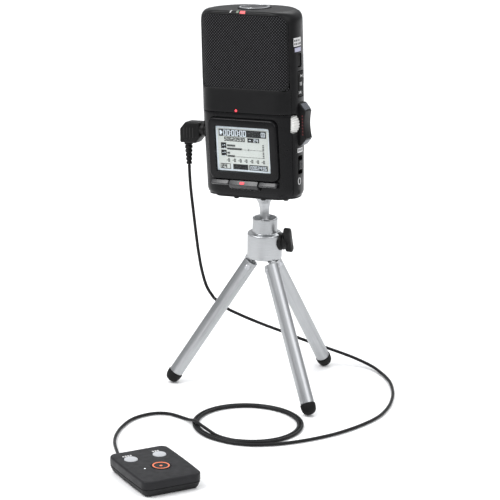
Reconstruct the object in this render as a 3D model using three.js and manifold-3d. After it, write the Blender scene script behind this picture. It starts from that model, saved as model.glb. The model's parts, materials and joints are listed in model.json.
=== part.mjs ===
// A pocket field recorder on a folding table-top tripod, with a wired remote control.
// Millimetres, +Z up. The recorder's face looks towards -Y. The recorder leans on the tripod's ball
// head, and its remote lies on the table in front of it, at the end of its lead.
import * as THREE from "three";
import { mergeVertices } from "three/addons/utils/BufferGeometryUtils.js";
import Module from "manifold-3d";

const wasm = await Module();
wasm.setup();

const GAP = 0.3; // clearance between neighbouring pieces
const { PI } = Math;
const rad = THREE.MathUtils.degToRad;

// ---- driving dimensions ----

const CASE = {
  halfWidth: 31.2,
  front: 16.8, // depth of the front face before the widest line
  back: 19.4,
  height: 111,
  frontRadius: 11, // corner radii of the plan section
  backRadius: 25,
  wall: 1.8,
  footHalfWidth: 30.2, // narrower at the base
  taperTop: 50, // the face slopes in below this height
  taperDepth: 2.9,
  frontSeam: -8.5,
  backSeam: 6,
  beltBottom: 50.4,
  beltTop: 64.3,
};
const GRILLE = { halfWidth: 28.8, top: 109, radius: 6 };
const SCREEN = {
  height: 28.8, // centre above the base
  bezel: [45.6, 36.6],
  window: [36.6, 27.2],
  proud: 2.6,
};
const DIAL = { radius: 9.5, thickness: 1.3, shaft: 2.4, sunk: 1.3 }; // set into the top
const WHEEL = { radius: 8.5, x: 25, y: -9.5, z: 44.3, width: 6, ribs: 26 };
const BUSH = { y: 6.35, radius: 5, bore: 3.5, depth: 5.2 };
const SCREW = { x: 20, z: 57.3 };
const BATTERY = { radius: 7.1, length: 50, x: 8, y: 6.4, z: 8.4 };
const COVER = { halfWidth: 19, front: 13.8, top: 46 }; // slides down behind the base pad
const PLUG = { y: -2, z: 36.5, corner: [-49.8, 28.3], collar: -36, leadX: -46 };

const HEAD = { z: 101, leanX: rad(-4.36), leanY: rad(-4.84), ball: 5.4, toBase: 21.5 };
const HUB = { radius: 10.4, neckRadius: 7.5, bottom: 82.6, shoulder: 97.2, neck: 98.6, rim: 107.1 };
const CAVITY = { radius: 6.4, bottom: 86, throat: 5.15, throatTop: 104.2 };
const LEG = {
  azimuths: [202, 329, 75], // left, front and back legs, in degrees
  spread: rad(31.7),
  radius: 4.2,
  bore: 3.5,
  pivotRadius: 9.7,
  pivotHeight: 76.6,
  overPivot: 3.5,
  toFootEnd: 88.9,
  capLength: 6.5,
};
const LOCK = { azimuth: rad(11.2), z: 93.2, barAt: 15.6, barFrom: -7, barTo: 9.5, barTurn: -24 };

const REMOTE = { x: 20.9, y: -160.3, turn: rad(57.2), width: 35.6, length: 47.5, split: 4.4, top: 9.5 };
const REMOTE_LEAD = { x: -8.3, z: 4.6, relief: 5 };

const CORD = { radius: 0.95, sides: 8 };
const LOOP = { x: 24.6, y: -60.2, radius: 31, halfWidth: 1.9, height: 3.8 };

// The lead's free stretches, point by point, measured from the tripod's axis on the table.
const DROP_POINTS = [
  [-48.9, -5.9, 133.6],
  [-48.5, -5.8, 126],
  [-48, -5.3, 117.7],
  [-46.8, -4.4, 105],
  [-45.7, -3.2, 92],
  [-44.6, -1.7, 79],
  [-43.3, 0.6, 66],
  [-41.4, 3.5, 55.2],
  [-38.6, 7.2, 47.6],
  [-33.3, 13.5, 40.2],
  [-28, 19.6, 35.4],
  [-22.5, 25.8, 31],
  [-16.3, 32.7, 26.4],
  [-9.2, 40.7, 21.4],
  [-1, 49, 15.8],
  [6.5, 55.6, 11.5],
  [15.5, 60.9, 7.8],
  [28.3, 64.3, 4.1],
  [42.5, 61.8, 1.8],
  [54.5, 54, 1.1],
];
const FLOOR_POINTS = [
  [54.8, 53.7, 1],
  [63, 45.2, 1],
  [70.5, 34.2, 1],
  [76.6, 22.2, 1],
  [81.8, 6.5, 1],
  [84.2, -10.5, 1],
  [82, -28, 1],
  [76.6, -46, 1],
  [70, -59.5, 1],
  [63.4, -69.7, 1],
  [57.4, -77.2, 1],
  [51.4, -82.8, 1],
];
const TAIL_POINTS = [
  [-8.5, -74.2, 1],
  [-15, -71.6, 1],
  [-21.8, -70.8, 1],
  [-28, -72.4, 1],
  [-32.6, -76.6, 1],
  [-35.9, -83, 1],
  [-37.3, -90, 1],
  [-36.9, -97.5, 1],
  [-35.4, -105.5, 1],
  [-33, -113.2, 1.1],
  [-29.8, -120.5, 1.4],
  [-25.6, -128, 2],
  [-20.4, -135.6, 2.9],
  [-14.5, -143.4, 3.9],
  [-8.4, -151.2, 4.6],
];

// ---- solids ----

function solid(geometry) {
  const plain = geometry.index ? geometry.toNonIndexed() : geometry.clone();
  plain.deleteAttribute("normal");
  plain.deleteAttribute("uv");
  const merged = mergeVertices(plain, 1e-4);
  const vertProperties = new Float32Array(merged.attributes.position.array);
  const triVerts = new Uint32Array(merged.index.array);
  return new wasm.Manifold(new wasm.Mesh({ numProp: 3, vertProperties, triVerts }));
}

function geometryOf(manifold) {
  const mesh = manifold.getMesh();
  const geometry = new THREE.BufferGeometry();
  geometry.setAttribute("position", new THREE.BufferAttribute(mesh.vertProperties, 3));
  geometry.setIndex(new THREE.BufferAttribute(mesh.triVerts, 1));
  return geometry;
}

// A shape drawn in (Y, Z) and extruded along +X, or in (X, Z) and extruded along -Y.
const alongX = new THREE.Matrix4().set(0, 0, 1, 0, 1, 0, 0, 0, 0, 1, 0, 0, 0, 0, 0, 1);
const alongY = new THREE.Matrix4().set(1, 0, 0, 0, 0, 0, -1, 0, 0, 1, 0, 0, 0, 0, 0, 1);

function prism(shape, axis, from, to, curveSegments = 5) {
  const options = { depth: to - from, bevelEnabled: false, curveSegments };
  const geometry = new THREE.ExtrudeGeometry(shape, options);
  if (axis === "z") geometry.translate(0, 0, from);
  if (axis === "x") geometry.applyMatrix4(alongX).translate(from, 0, 0);
  if (axis === "y") geometry.applyMatrix4(alongY).translate(0, to, 0);
  return solid(geometry);
}

// A closed outline through corners [u, v, radius].
function outline(corners) {
  const shape = new THREE.Shape();
  corners.forEach(([u, v, radius = 0], i) => {
    const corner = new THREE.Vector2(u, v);
    const before = new THREE.Vector2(...corners.at(i - 1).slice(0, 2)).sub(corner).setLength(radius);
    const after = new THREE.Vector2(...corners[(i + 1) % corners.length].slice(0, 2)).sub(corner);
    after.setLength(radius);
    if (i === 0) shape.moveTo(u + before.x, v + before.y);
    else shape.lineTo(u + before.x, v + before.y);
    if (radius > 0) shape.quadraticCurveTo(u, v, u + after.x, v + after.y);
  });
  return shape;
}

function rectangle(u0, u1, v0, v1, radius = 0) {
  return outline([
    [u0, v0, radius],
    [u1, v0, radius],
    [u1, v1, radius],
    [u0, v1, radius],
  ]);
}

function box(x0, x1, y0, y1, z0, z1) {
  const geometry = new THREE.BoxGeometry(x1 - x0, y1 - y0, z1 - z0);
  return solid(geometry.translate((x0 + x1) / 2, (y0 + y1) / 2, (z0 + z1) / 2));
}

function cylinder(radius, axis, from, to, centre = [0, 0], sides = 24) {
  const circle = new THREE.Shape().absarc(centre[0], centre[1], radius, 0, 2 * PI);
  return prism(circle, axis, from, to, sides / 2);
}

// A solid of revolution about Z, from [radius, z] pairs listed upwards on its outside.
function turned(profile, sides = 24) {
  const points = profile.map(([r, z]) => new THREE.Vector2(r, z));
  return solid(new THREE.LatheGeometry(points, sides).rotateX(PI / 2));
}

function moved(manifold, x, y, z) {
  return manifold.translate([x, y, z]);
}

function material(color, roughness, metalness = 0) {
  return new THREE.MeshStandardMaterial({ color, roughness, metalness });
}

const MATERIALS = {
  caseBlack: material(0x1d1d1f, 0.35),
  glossBlack: material(0x121214, 0.12),
  mesh: material(0x19191b, 0.55, 0.5),
  rubber: material(0x151515, 0.85),
  screen: material(0xcfd9dc, 0.4),
  lens: material(0xdfe6ea, 0.05),
  white: material(0xe4e4e2, 0.45),
  darkMetal: material(0x333336, 0.3, 0.8),
  aluminium: material(0xc4c7ca, 0.35, 0.9),
  brass: material(0xb79a55, 0.35, 0.9),
  steel: material(0x9a9da1, 0.3, 0.9),
  board: material(0x1f5a36, 0.6),
  battery: material(0x9c7440, 0.4, 0.5),
  remoteTop: material(0x4b4b50, 0.5),
  remoteBase: material(0x3a3a3b, 0.7),
  orange: material(0xf0764a, 0.5),
  greyButton: material(0xb9bcc0, 0.5),
  cord: material(0x141415, 0.55),
};

function piece(parent, name, manifold, finish) {
  const mesh = new THREE.Mesh(geometryOf(manifold), MATERIALS[finish]);
  mesh.name = name;
  parent.add(mesh);
  return mesh;
}

// ---- recorder case ----

function planShape(inset) {
  const width = CASE.halfWidth - inset;
  const front = CASE.frontRadius - inset;
  const back = CASE.backRadius - inset;
  const frontY = -CASE.front + CASE.frontRadius;
  const backY = CASE.back - CASE.backRadius;
  const shape = new THREE.Shape();
  shape.absarc(width - front, frontY, front, -PI / 2, 0);
  shape.absarc(width - back, backY, back, 0, PI / 2);
  shape.absarc(back - width, backY, back, PI / 2, PI);
  shape.absarc(front - width, frontY, front, PI, 1.5 * PI);
  return shape;
}

// The case's outside, or a smaller one inside it: its plan, face and side outlines cut each other.
function envelope(inset) {
  const { halfWidth, footHalfWidth, front, back, height, taperTop, taperDepth } = CASE;
  const top = height - inset;
  const face = outline([
    [inset - footHalfWidth, inset, 5],
    [footHalfWidth - inset, inset, 5],
    [halfWidth - inset, taperTop, 3],
    [halfWidth - inset, top, 7],
    [inset - halfWidth, top, 7],
    [inset - halfWidth, taperTop, 3],
  ]);
  const side = outline([
    [inset - front + taperDepth, inset, 1.5],
    [back - 2 - inset, inset, 4],
    [back - inset, taperTop, 3],
    [back - inset, top, 7],
    [inset - front, top, 3.5],
    [inset - front, taperTop, 2],
  ]);
  return prism(planShape(inset), "z", -1, height + 1, 7)
    .intersect(prism(face, "y", -front - 1, back + 1))
    .intersect(prism(side, "x", -halfWidth - 1, halfWidth + 1, 4));
}

function grilleZone(from, to, grow = 0) {
  const { halfWidth, top, radius } = GRILLE;
  const shape = outline([
    [-halfWidth - grow, CASE.beltTop - grow, 2],
    [halfWidth + grow, CASE.beltTop - grow, 2],
    [halfWidth + grow, top + grow, radius],
    [-halfWidth - grow, top + grow, radius],
  ]);
  return prism(shape, "y", from, to);
}

// Openings in the right side wall for its controls, as [y0, y1, z0, z1].
const RIGHT_CONTROLS = {
  playRocker: [-6, 2, 60, 74.5],
  menuButton: [-6, -0.8, 77.4, 85],
  powerSlot: [-6.6, -1, 14.5, 25],
};
const LEFT_CONTROLS = { volumeRocker: [-6, 1.4, 70, 83], cardCover: [-7, 1, 8, 22] };
const JACKS = { jack_remote: PLUG.z, jack_line: 50, jack_phones: 60.5 };

function wallWindow([y0, y1, z0, z1], side, grow = GAP) {
  const shape = rectangle(y0 - grow, y1 + grow, z0 - grow, z1 + grow, 1);
  return side > 0 ? prism(shape, "x", 24, 40, 3) : prism(shape, "x", -40, -24, 3);
}

function wheelPocket() {
  const { x, y, z, radius, width } = WHEEL;
  return cylinder(radius + 0.6, "y", y - width / 2 - 0.5, y + width / 2 + 0.5, [x, z]);
}

function recorderCase(recorder) {
  const outside = envelope(0);
  const skin = outside.subtract(envelope(CASE.wall));
  const frontHalf = box(-40, 40, -40, CASE.frontSeam, -5, 120);
  const backHalf = box(-40, 40, CASE.backSeam, 40, -5, 120);
  const below = box(-40, 40, -40, 40, -5, CASE.beltBottom);

  const middleBand = box(-50, 50, CASE.frontSeam - GAP, CASE.backSeam + GAP, -9, 130);
  const front = grilleZone(-40, CASE.frontSeam - GAP);
  const back = grilleZone(CASE.backSeam + GAP, 40);
  piece(recorder, "front_grille", skin.intersect(front), "mesh");
  piece(recorder, "rear_grille", skin.intersect(back), "mesh");

  const lowZone = box(-40, 40, -40, 40, -5, CASE.beltBottom + GAP);
  const frame = skin
    .subtract(grilleZone(-40, CASE.frontSeam, GAP))
    .subtract(grilleZone(CASE.backSeam, 40, GAP))
    .subtract(frontHalf.intersect(lowZone))
    .subtract(backHalf.intersect(lowZone))
    .subtract(cylinder(BUSH.radius + GAP, "z", -5, 6, [0, BUSH.y]))
    .subtract(cylinder(DIAL.shaft + GAP, "z", 100, 120))
    .subtract(cylinder(DIAL.radius + 2 * GAP, "z", CASE.height - DIAL.sunk, 120, [0, 0], 32));
  const right = Object.values(RIGHT_CONTROLS).map((window) => wallWindow(window, 1));
  const left = Object.values(LEFT_CONTROLS).map((window) => wallWindow(window, -1));
  const sockets = Object.values(JACKS).map((z) => cylinder(3.4, "x", -40, -24, [PLUG.y, z]));
  const screwHoles = [-SCREW.x, SCREW.x].map((x) => cylinder(1.6 + GAP, "y", 8, 30, [x, SCREW.z], 12));
  const cutters = [...right, ...left, ...sockets, ...screwHoles, wheelPocket()];
  piece(recorder, "body_frame", cutters.reduce((part, cutter) => part.subtract(cutter), frame), "caseBlack");

  const lowSkin = skin.intersect(below).subtract(middleBand);
  const screenHole = screenPrism(SCREEN.bezel[0] + 2 * GAP, SCREEN.bezel[1] + 2 * GAP, -9, 9, 4);
  const frontShell = lowSkin
    .intersect(frontHalf)
    .subtract(screenHole)
    .subtract(recButtonPrism(GAP))
    .subtract(wheelPocket());
  piece(recorder, "front_shell", frontShell, "glossBlack");

  const coverZone = (gap) => {
    const halfWidth = COVER.halfWidth + gap;
    return box(-halfWidth, halfWidth, COVER.front - gap, 40, -5, COVER.top + gap);
  };
  const rearSkin = lowSkin.intersect(backHalf);
  const rearShell = rearSkin
    .subtract(coverZone(GAP))
    .subtract(cylinder(BUSH.radius + GAP, "z", -5, 6, [0, BUSH.y]));
  piece(recorder, "rear_shell", rearShell, "caseBlack");
  piece(recorder, "battery_cover", rearSkin.intersect(coverZone(0)), "caseBlack");
}

// ---- screen and record button, on the sloping lower face ----

const faceSlope = Math.atan2(CASE.taperDepth, CASE.taperTop);
const faceY = -CASE.front + CASE.taperDepth * (1 - SCREEN.height / CASE.taperTop);

// A block with rounded corners on the sloping face, from and to being measured back from its skin.
function screenPrism(width, height, from, to, radius, up = 0) {
  const shape = rectangle(-width / 2, width / 2, up - height / 2, up + height / 2, radius);
  return prism(shape, "y", from, to, 4)
    .rotate([THREE.MathUtils.radToDeg(faceSlope), 0, 0])
    .translate([-0.4, faceY, SCREEN.height]);
}

function recButtonPrism(grow) {
  return screenPrism(19 + 2 * grow, 5 + 2 * grow, -2.6 - 8 * grow, 3.2 + 8 * grow, 1.4, -21.7);
}

function screen(recorder) {
  const [width, height] = SCREEN.bezel;
  const [innerWidth, innerHeight] = SCREEN.window;
  const bezel = screenPrism(width, height, -SCREEN.proud, 2.5, 4).subtract(
    screenPrism(innerWidth, innerHeight, -9, 9, 1),
  );
  piece(recorder, "lcd_bezel", bezel, "glossBlack");
  piece(recorder, "lcd_lens", screenPrism(innerWidth - 0.6, innerHeight - 0.6, -2.1, -1, 1), "lens");
  piece(recorder, "lcd_panel", screenPrism(innerWidth - 0.6, innerHeight - 0.6, -0.7, 1.8, 1), "screen");
  piece(recorder, "rec_button", recButtonPrism(0), "glossBlack");
}

// ---- controls ----

function sideButton([y0, y1, z0, z1], side, proud) {
  const shape = rectangle(y0, y1, z0, z1, 1);
  const block = side > 0 ? prism(shape, "x", 27, 40, 3) : prism(shape, "x", -40, -27, 3);
  return block.intersect(envelope(-proud));
}

function modeDial() {
  const { radius, thickness, shaft } = DIAL;
  const seat = CASE.height - DIAL.sunk + GAP;
  return turned(
    [
      [0, seat - 8],
      [shaft, seat - 8],
      [shaft, seat],
      [radius - 0.3, seat],
      [radius, seat + 0.3],
      [radius, seat + thickness - 0.4],
      [radius - 0.6, seat + thickness],
      [0, seat + thickness],
    ],
    32,
  );
}

function gainWheel() {
  const { radius, x, y, z, width, ribs } = WHEEL;
  const shape = new THREE.Shape();
  for (let i = 0; i < ribs; i += 1) {
    for (const [turn, r] of [
      [0.1, radius],
      [0.45, radius],
      [0.6, radius - 0.5],
      [0.95, radius - 0.5],
    ]) {
      const angle = ((i + turn) / ribs) * 2 * PI;
      const point = [x + r * Math.cos(angle), z + r * Math.sin(angle)];
      if (shape.curves.length === 0 && shape.currentPoint.length() === 0) shape.moveTo(...point);
      else shape.lineTo(...point);
    }
  }
  return prism(shape, "y", y - width / 2, y + width / 2);
}

// A waisted lug beside the gain wheel, which keeps it from being knocked.
function gainGuard() {
  const shape = new THREE.Shape();
  shape.moveTo(31.6, 31);
  shape.lineTo(35.3, 35.4);
  shape.quadraticCurveTo(33.4, 43.4, 35.3, 51.4);
  shape.lineTo(31.6, 56.2);
  shape.lineTo(28, 56.2);
  shape.lineTo(28, 31);
  const inside = WHEEL.y + WHEEL.width / 2 + 0.9;
  return prism(shape, "y", inside, 2.4, 5).subtract(envelope(-GAP));
}

function jack(z) {
  const body = box(-27.8, -18, PLUG.y - 3.6, PLUG.y + 3.6, z - 3.6, z + 3.6);
  const nose = cylinder(3.1, "x", -31, -27, [PLUG.y, z], 20);
  return body.add(nose).subtract(cylinder(2.1, "x", -40, -20, [PLUG.y, z], 16));
}

function controls(recorder) {
  piece(recorder, "mode_dial", modeDial(), "darkMetal");
  piece(recorder, "gain_wheel", gainWheel(), "white");
  piece(recorder, "gain_guard", gainGuard(), "caseBlack");
  piece(recorder, "play_rocker", sideButton(RIGHT_CONTROLS.playRocker, 1, 0.7), "rubber");
  piece(recorder, "menu_button", sideButton(RIGHT_CONTROLS.menuButton, 1, -0.5), "rubber");
  piece(recorder, "power_slide", sideButton([-6.6, -1, 17, 22.4], 1, 0.5), "caseBlack");
  piece(recorder, "volume_rocker", sideButton(LEFT_CONTROLS.volumeRocker, -1, 0.7), "rubber");
  const cover = wallWindow(LEFT_CONTROLS.cardCover, -1, 0);
  piece(recorder, "card_cover", cover.intersect(envelope(0).subtract(envelope(1.4))), "rubber");
  for (const [name, z] of Object.entries(JACKS)) piece(recorder, name, jack(z), "steel");
}

// ---- inside the recorder ----

function microphone(axis, from, centre) {
  return cylinder(6.2, axis, from, from + 8, centre, 20);
}

function batteryContacts() {
  const plate = box(-15, 15, 0.5, 12.5, 6, 6.8);
  const springs = [-BATTERY.x, BATTERY.x].map((x) => cylinder(2.5, "z", 6.6, 8, [x, BATTERY.y], 12));
  return plate.add(springs[0]).add(springs[1]);
}

function internals(recorder) {
  piece(recorder, "main_board", box(-23, 15.5, -8.4, -6.8, 12, 58), "board");
  piece(recorder, "mic_holder", box(-7, 7, -3, 7, 76, 98), "rubber");
  piece(recorder, "mic_front", microphone("y", -3 - GAP - 8, [0, 90]), "steel");
  piece(recorder, "mic_left", microphone("x", -7 - GAP - 8, [2, 87]), "steel");
  piece(recorder, "mic_right", microphone("x", 7 + GAP, [2, 87]), "steel");
  piece(recorder, "speaker", cylinder(6, "y", 11.5, 14.5, [0, 66.5]), "steel");
  [-BATTERY.x, BATTERY.x].forEach((x, i) => {
    const can = cylinder(BATTERY.radius, "z", BATTERY.z, BATTERY.z + 48.6, [x, BATTERY.y], 20);
    const button = cylinder(2.7, "z", BATTERY.z + 48, BATTERY.z + BATTERY.length, [x, BATTERY.y], 12);
    piece(recorder, `battery_${i + 1}`, can.add(button), "battery");
  });
  piece(recorder, "battery_contacts", batteryContacts(), "steel");
  const bush = cylinder(BUSH.radius, "z", 0.2, BUSH.depth, [0, BUSH.y], 20);
  piece(recorder, "tripod_bush", bush.subtract(cylinder(BUSH.bore, "z", -1, 9, [0, BUSH.y], 16)), "brass");
}

// A thin rubber plate under the case, with four nubs to stand on and a hole for the tripod's stud.
function basePad() {
  const plate = prism(rectangle(-24, 24, -12.8, 13.5, 6), "z", -0.7, -GAP);
  const nub = turned(
    [
      [0, -1.7],
      [1.3, -1.7],
      [1.8, -0.6],
      [0, -0.6],
    ],
    12,
  );
  const places = [-1, 1].flatMap((side) => [
    [22 * side, -7],
    [9 * side, -10.8],
    [17 * side, 11],
  ]);
  const nubs = places.map(([x, y]) => moved(nub, x, y, 0));
  const pad = nubs.reduce((part, nub) => part.add(nub), plate);
  return pad.subtract(cylinder(8, "z", -3, 1, [0, BUSH.y]));
}

function caseScrew(x) {
  const head = cylinder(1.6, "y", 13.4, 14.8, [x, SCREW.z], 12);
  return head.add(cylinder(0.9, "y", 8.5, 14, [x, SCREW.z], 8));
}

// ---- plug and its strain relief ----

function plugBody() {
  const [x0, z0] = PLUG.corner;
  const shape = outline([
    [x0, z0, 1],
    [-39.4, z0, 1],
    [PLUG.collar, z0 + 4, 1],
    [PLUG.collar, 41, 1],
    [x0 + 4, 41, 1],
    [x0, 36.6, 1],
  ]);
  const body = prism(shape, "y", PLUG.y - 4.2, PLUG.y + 4.2, 3);
  const collar = cylinder(4, "x", PLUG.collar - 0.5, -CASE.halfWidth - 0.5, [PLUG.y, PLUG.z], 20);
  const pin = cylinder(1.7, "x", PLUG.collar, -22, [PLUG.y, PLUG.z], 12);
  return body.add(collar).add(pin);
}

function strainRelief() {
  const top = PLUG.corner[1] - GAP;
  const profile = [[0, 15]];
  for (let rib = 0; rib < 5; rib += 1) {
    const z = 15 + rib * 2.4;
    const radius = 1.7 + rib * 0.16;
    profile.push([radius, z], [radius, z + 1.4], [radius - 0.35, z + 1.5], [radius - 0.35, z + 2.3]);
  }
  profile.push([2.6, top - 0.8], [2.6, top], [0, top]);
  return moved(turned(profile, 12), PLUG.leadX, PLUG.y, 0);
}

// ---- tripod ----

// A leg's ear stands in its own upright plane: shapes are drawn in (radius, height) and turned to it.
function inLegPlane(shape, halfThickness, azimuth) {
  return prism(shape, "y", -halfThickness, halfThickness).rotate([0, 0, azimuth]);
}

function legEar(azimuth) {
  const { pivotRadius, pivotHeight } = LEG;
  const eye = new THREE.Shape().absarc(pivotRadius, pivotHeight, 2.9, 0, 2 * PI);
  const hole = new THREE.Shape().absarc(pivotRadius, pivotHeight, 1 + GAP, 0, 2 * PI);
  const neck = rectangle(7.9, 10.2, pivotHeight, HUB.bottom + 1);
  return inLegPlane(eye, 1.2, azimuth)
    .add(inLegPlane(neck, 1.2, azimuth))
    .subtract(inLegPlane(hole, 3, azimuth));
}

function tripodHub() {
  const { radius, neckRadius, bottom, shoulder, neck, rim } = HUB;
  const shell = turned(
    [
      [0, bottom],
      [radius - 0.5, bottom],
      [radius, bottom + 0.5],
      [radius, shoulder],
      [radius - 0.7, shoulder + 0.7],
      [neckRadius + 0.4, neck - 0.4],
      [neckRadius, neck],
      [neckRadius, rim - 0.4],
      [neckRadius - 0.4, rim],
      [6.2, rim],
      [CAVITY.throat, CAVITY.throatTop],
      [CAVITY.throat, CAVITY.throatTop - 0.8],
      [CAVITY.radius, CAVITY.throatTop - 2.1],
      [CAVITY.radius, CAVITY.bottom],
      [0, CAVITY.bottom],
    ],
    32,
  );
  const boss = cylinder(5.4, "x", 8, radius + 1, [0, 0], 24);
  const screwHole = cylinder(2 + GAP, "x", 5, 14, [0, 0], 12);
  const place = (part) => part.rotate([0, 0, THREE.MathUtils.radToDeg(LOCK.azimuth)]).translate([0, 0, LOCK.z]);
  const withBoss = shell.add(place(boss)).subtract(place(screwHole));
  return LEG.azimuths.reduce((part, azimuth) => part.add(legEar(azimuth)), withBoss);
}

// The ball with its neck, flange and screw thread, about the ball's centre.
function ballStud() {
  const { ball, toBase } = HEAD;
  const profile = [[0, -ball]];
  for (let step = 1; step <= 7; step += 1) {
    const angle = -PI / 2 + (step / 8) * rad(152);
    profile.push([ball * Math.cos(angle), ball * Math.sin(angle)]);
  }
  profile.push([2.6, 5.2], [2.6, 13.5], [3.4, 16.5], [5.4, 18.8], [6.9, 19.4], [6.9, toBase - 0.6 - GAP]);
  profile.push([3.1, toBase - 0.6 - GAP], [3.1, toBase + 4], [2.6, toBase + 4.6], [0, toBase + 4.6]);
  return turned(profile);
}

// The nylon seat under the ball, which the lock screw wedges upwards.
function ballSeat() {
  const seat = HEAD.ball + GAP;
  const profile = [
    [0, -13],
    [4, -13],
    [6.1, -11],
    [6.1, -1.6],
  ];
  for (let step = 0; step <= 5; step += 1) {
    const angle = rad(-16) - (step / 5) * rad(74);
    profile.push([seat * Math.cos(angle), seat * Math.sin(angle)]);
  }
  profile[profile.length - 1][0] = 0;
  return turned(profile);
}

// The lock screw with its wing, along +X from the tripod's axis.
function lockKnob() {
  const { barAt, barFrom, barTo, barTurn } = LOCK;
  const stem = cylinder(2, "x", CAVITY.radius + 0.2, barAt, [0, 0], 12);
  const collar = cylinder(3.2, "x", HUB.radius + 1 + GAP, barAt - 1, [0, 0], 16);
  const bar = prism(rectangle(-2.3, 2.3, barFrom, barTo, 2.1), "x", barAt - 2.3, barAt + 2.3, 4);
  return stem.add(collar).add(bar).rotate([barTurn, 0, 0]);
}

// A leg's pieces, along +Z from its foot end to its top, the pivot being at toFootEnd.
function legTube() {
  const { radius, bore, toFootEnd, overPivot, capLength } = LEG;
  const tube = turned([
    [bore, capLength + GAP],
    [radius, capLength + GAP],
    [radius, toFootEnd + overPivot],
    [bore, toFootEnd + overPivot],
    [bore, capLength + GAP],
  ]);
  return tube.subtract(cylinder(1 + GAP, "y", -6, 6, [0, toFootEnd], 12));
}

function legPin() {
  return cylinder(1, "y", -LEG.radius - 0.3, LEG.radius + 0.3, [0, LEG.toFootEnd], 12);
}

function footCap() {
  const { radius, bore, capLength } = LEG;
  return turned([
    [0, 0],
    [3.4, 0],
    [radius + 0.3, 2.2],
    [radius + 0.4, capLength],
    [bore - GAP, capLength],
    [bore - GAP, capLength + 4],
    [0, capLength + 4],
  ]);
}

// Turns a leg's piece from upright to its spread, with its pivot on the hub.
function standLeg(manifold, azimuth) {
  const { toFootEnd, spread, pivotRadius, pivotHeight } = LEG;
  return manifold
    .translate([0, 0, -toFootEnd])
    .rotate([0, -THREE.MathUtils.radToDeg(spread), 0])
    .translate([pivotRadius, 0, pivotHeight])
    .rotate([0, 0, azimuth]);
}

function tripod(object) {
  piece(object, "tripod_hub", tripodHub(), "aluminium");
  const lock = piece(object, "lock_knob", lockKnob(), "rubber");
  lock.rotation.z = LOCK.azimuth;
  lock.position.z = LOCK.z;
  piece(object, "ball_seat", ballSeat(), "white").position.z = HEAD.z;
  const aboveTable = box(-90, 90, -90, 90, 0, 200);
  LEG.azimuths.forEach((azimuth, i) => {
    piece(object, `leg_${i + 1}`, standLeg(legTube(), azimuth), "aluminium");
    piece(object, `leg_pin_${i + 1}`, standLeg(legPin(), azimuth), "steel");
    piece(object, `foot_cap_${i + 1}`, standLeg(footCap(), azimuth).intersect(aboveTable), "rubber");
  });
}

// ---- remote control ----

const BUTTONS = {
  remote_rec_button: { x: 1.5, y: -4.5, radius: 5.5, finish: "orange" },
  remote_pause_button: { x: -9.3, y: 11.5, radius: 3.9, finish: "greyButton" },
  remote_mark_button: { x: 8.4, y: 11.5, radius: 3.9, finish: "greyButton" },
};

function remoteSlab(inset, from, to, lowInset = 0) {
  const { width, length } = REMOTE;
  const low = rectangle(inset - width / 2, width / 2 - inset, inset - length / 2, length / 2 - inset, 4);
  const slab = prism(low, "z", from, to, 4);
  if (lowInset === 0) return slab;
  const slope = (half) => outline([
    [-half + lowInset, from],
    [half - lowInset, from],
    [half, to],
    [-half, to],
  ]);
  return slab
    .intersect(prism(slope(width / 2), "y", -30, 30))
    .intersect(prism(slope(length / 2), "x", -30, 30));
}

function remoteControl(remote) {
  const { split, top, length } = REMOTE;
  const leadHole = cylinder(2.1 + GAP, "y", length / 2 - 3, length / 2 + 3, [REMOTE_LEAD.x, REMOTE_LEAD.z], 12);
  const base = remoteSlab(0, 0, split, 2.2).subtract(remoteSlab(3.2, 1.4, split + 1)).subtract(leadHole);
  piece(remote, "remote_base", base, "remoteBase");

  const holes = Object.values(BUTTONS).map(({ x, y, radius }) => cylinder(radius + GAP, "z", 5, 12, [x, y]));
  const lid = remoteSlab(0, split + GAP, top).subtract(remoteSlab(1.5, split - 1, top - 1.5)).subtract(leadHole);
  piece(remote, "remote_top", holes.reduce((part, hole) => part.subtract(hole), lid), "remoteTop");

  piece(remote, "remote_board", box(-15, 15, -20, 17, 4.9, 6.1), "board");
  for (const [name, { x, y, radius, finish }] of Object.entries(BUTTONS)) {
    piece(remote, name, cylinder(radius, "z", 6.9, top + 0.3, [x, y]), finish);
  }
  const relief = turned([
    [0, -2.6],
    [2.1, -2.6],
    [2.1, 0.6],
    [1.4, REMOTE_LEAD.relief],
    [0, REMOTE_LEAD.relief],
  ], 12).rotate([-90, 0, 0]);
  piece(remote, "remote_relief", moved(relief, REMOTE_LEAD.x, length / 2, REMOTE_LEAD.z), "rubber");
}

// ---- lead ----

function cordTube(points, steps) {
  const route = new THREE.CatmullRomCurve3(points.map((point) => new THREE.Vector3(...point)));
  const section = new THREE.Shape();
  for (let i = 0; i < CORD.sides; i += 1) {
    const angle = (i / CORD.sides) * 2 * PI;
    const point = [CORD.radius * Math.cos(angle), CORD.radius * Math.sin(angle)];
    if (i === 0) section.moveTo(...point);
    else section.lineTo(...point);
  }
  return solid(new THREE.ExtrudeGeometry(section, { steps, extrudePath: route, bevelEnabled: false }));
}

function cordLoop() {
  const { radius, halfWidth, height, x, y } = LOOP;
  const ring = turned([
    [radius - halfWidth, 0],
    [radius + halfWidth, 0],
    [radius + halfWidth, height],
    [radius - halfWidth, height],
    [radius - halfWidth, 0],
  ], 32);
  return moved(ring, x, y, 0);
}

function lead(object) {
  piece(object, "cord_drop", cordTube(DROP_POINTS, 34), "cord");
  piece(object, "cord_floor", cordTube(FLOOR_POINTS, 16), "cord");
  piece(object, "cord_loop", cordLoop(), "cord");
  piece(object, "cord_tail", cordTube(TAIL_POINTS, 18), "cord");
}

// ---- the whole object ----

const object = new THREE.Group();
tripod(object);

const head = new THREE.Group();
head.position.z = HEAD.z;
head.rotation.set(HEAD.leanX, HEAD.leanY, 0);
object.add(head);
piece(head, "ball_stud", ballStud(), "aluminium");

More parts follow.
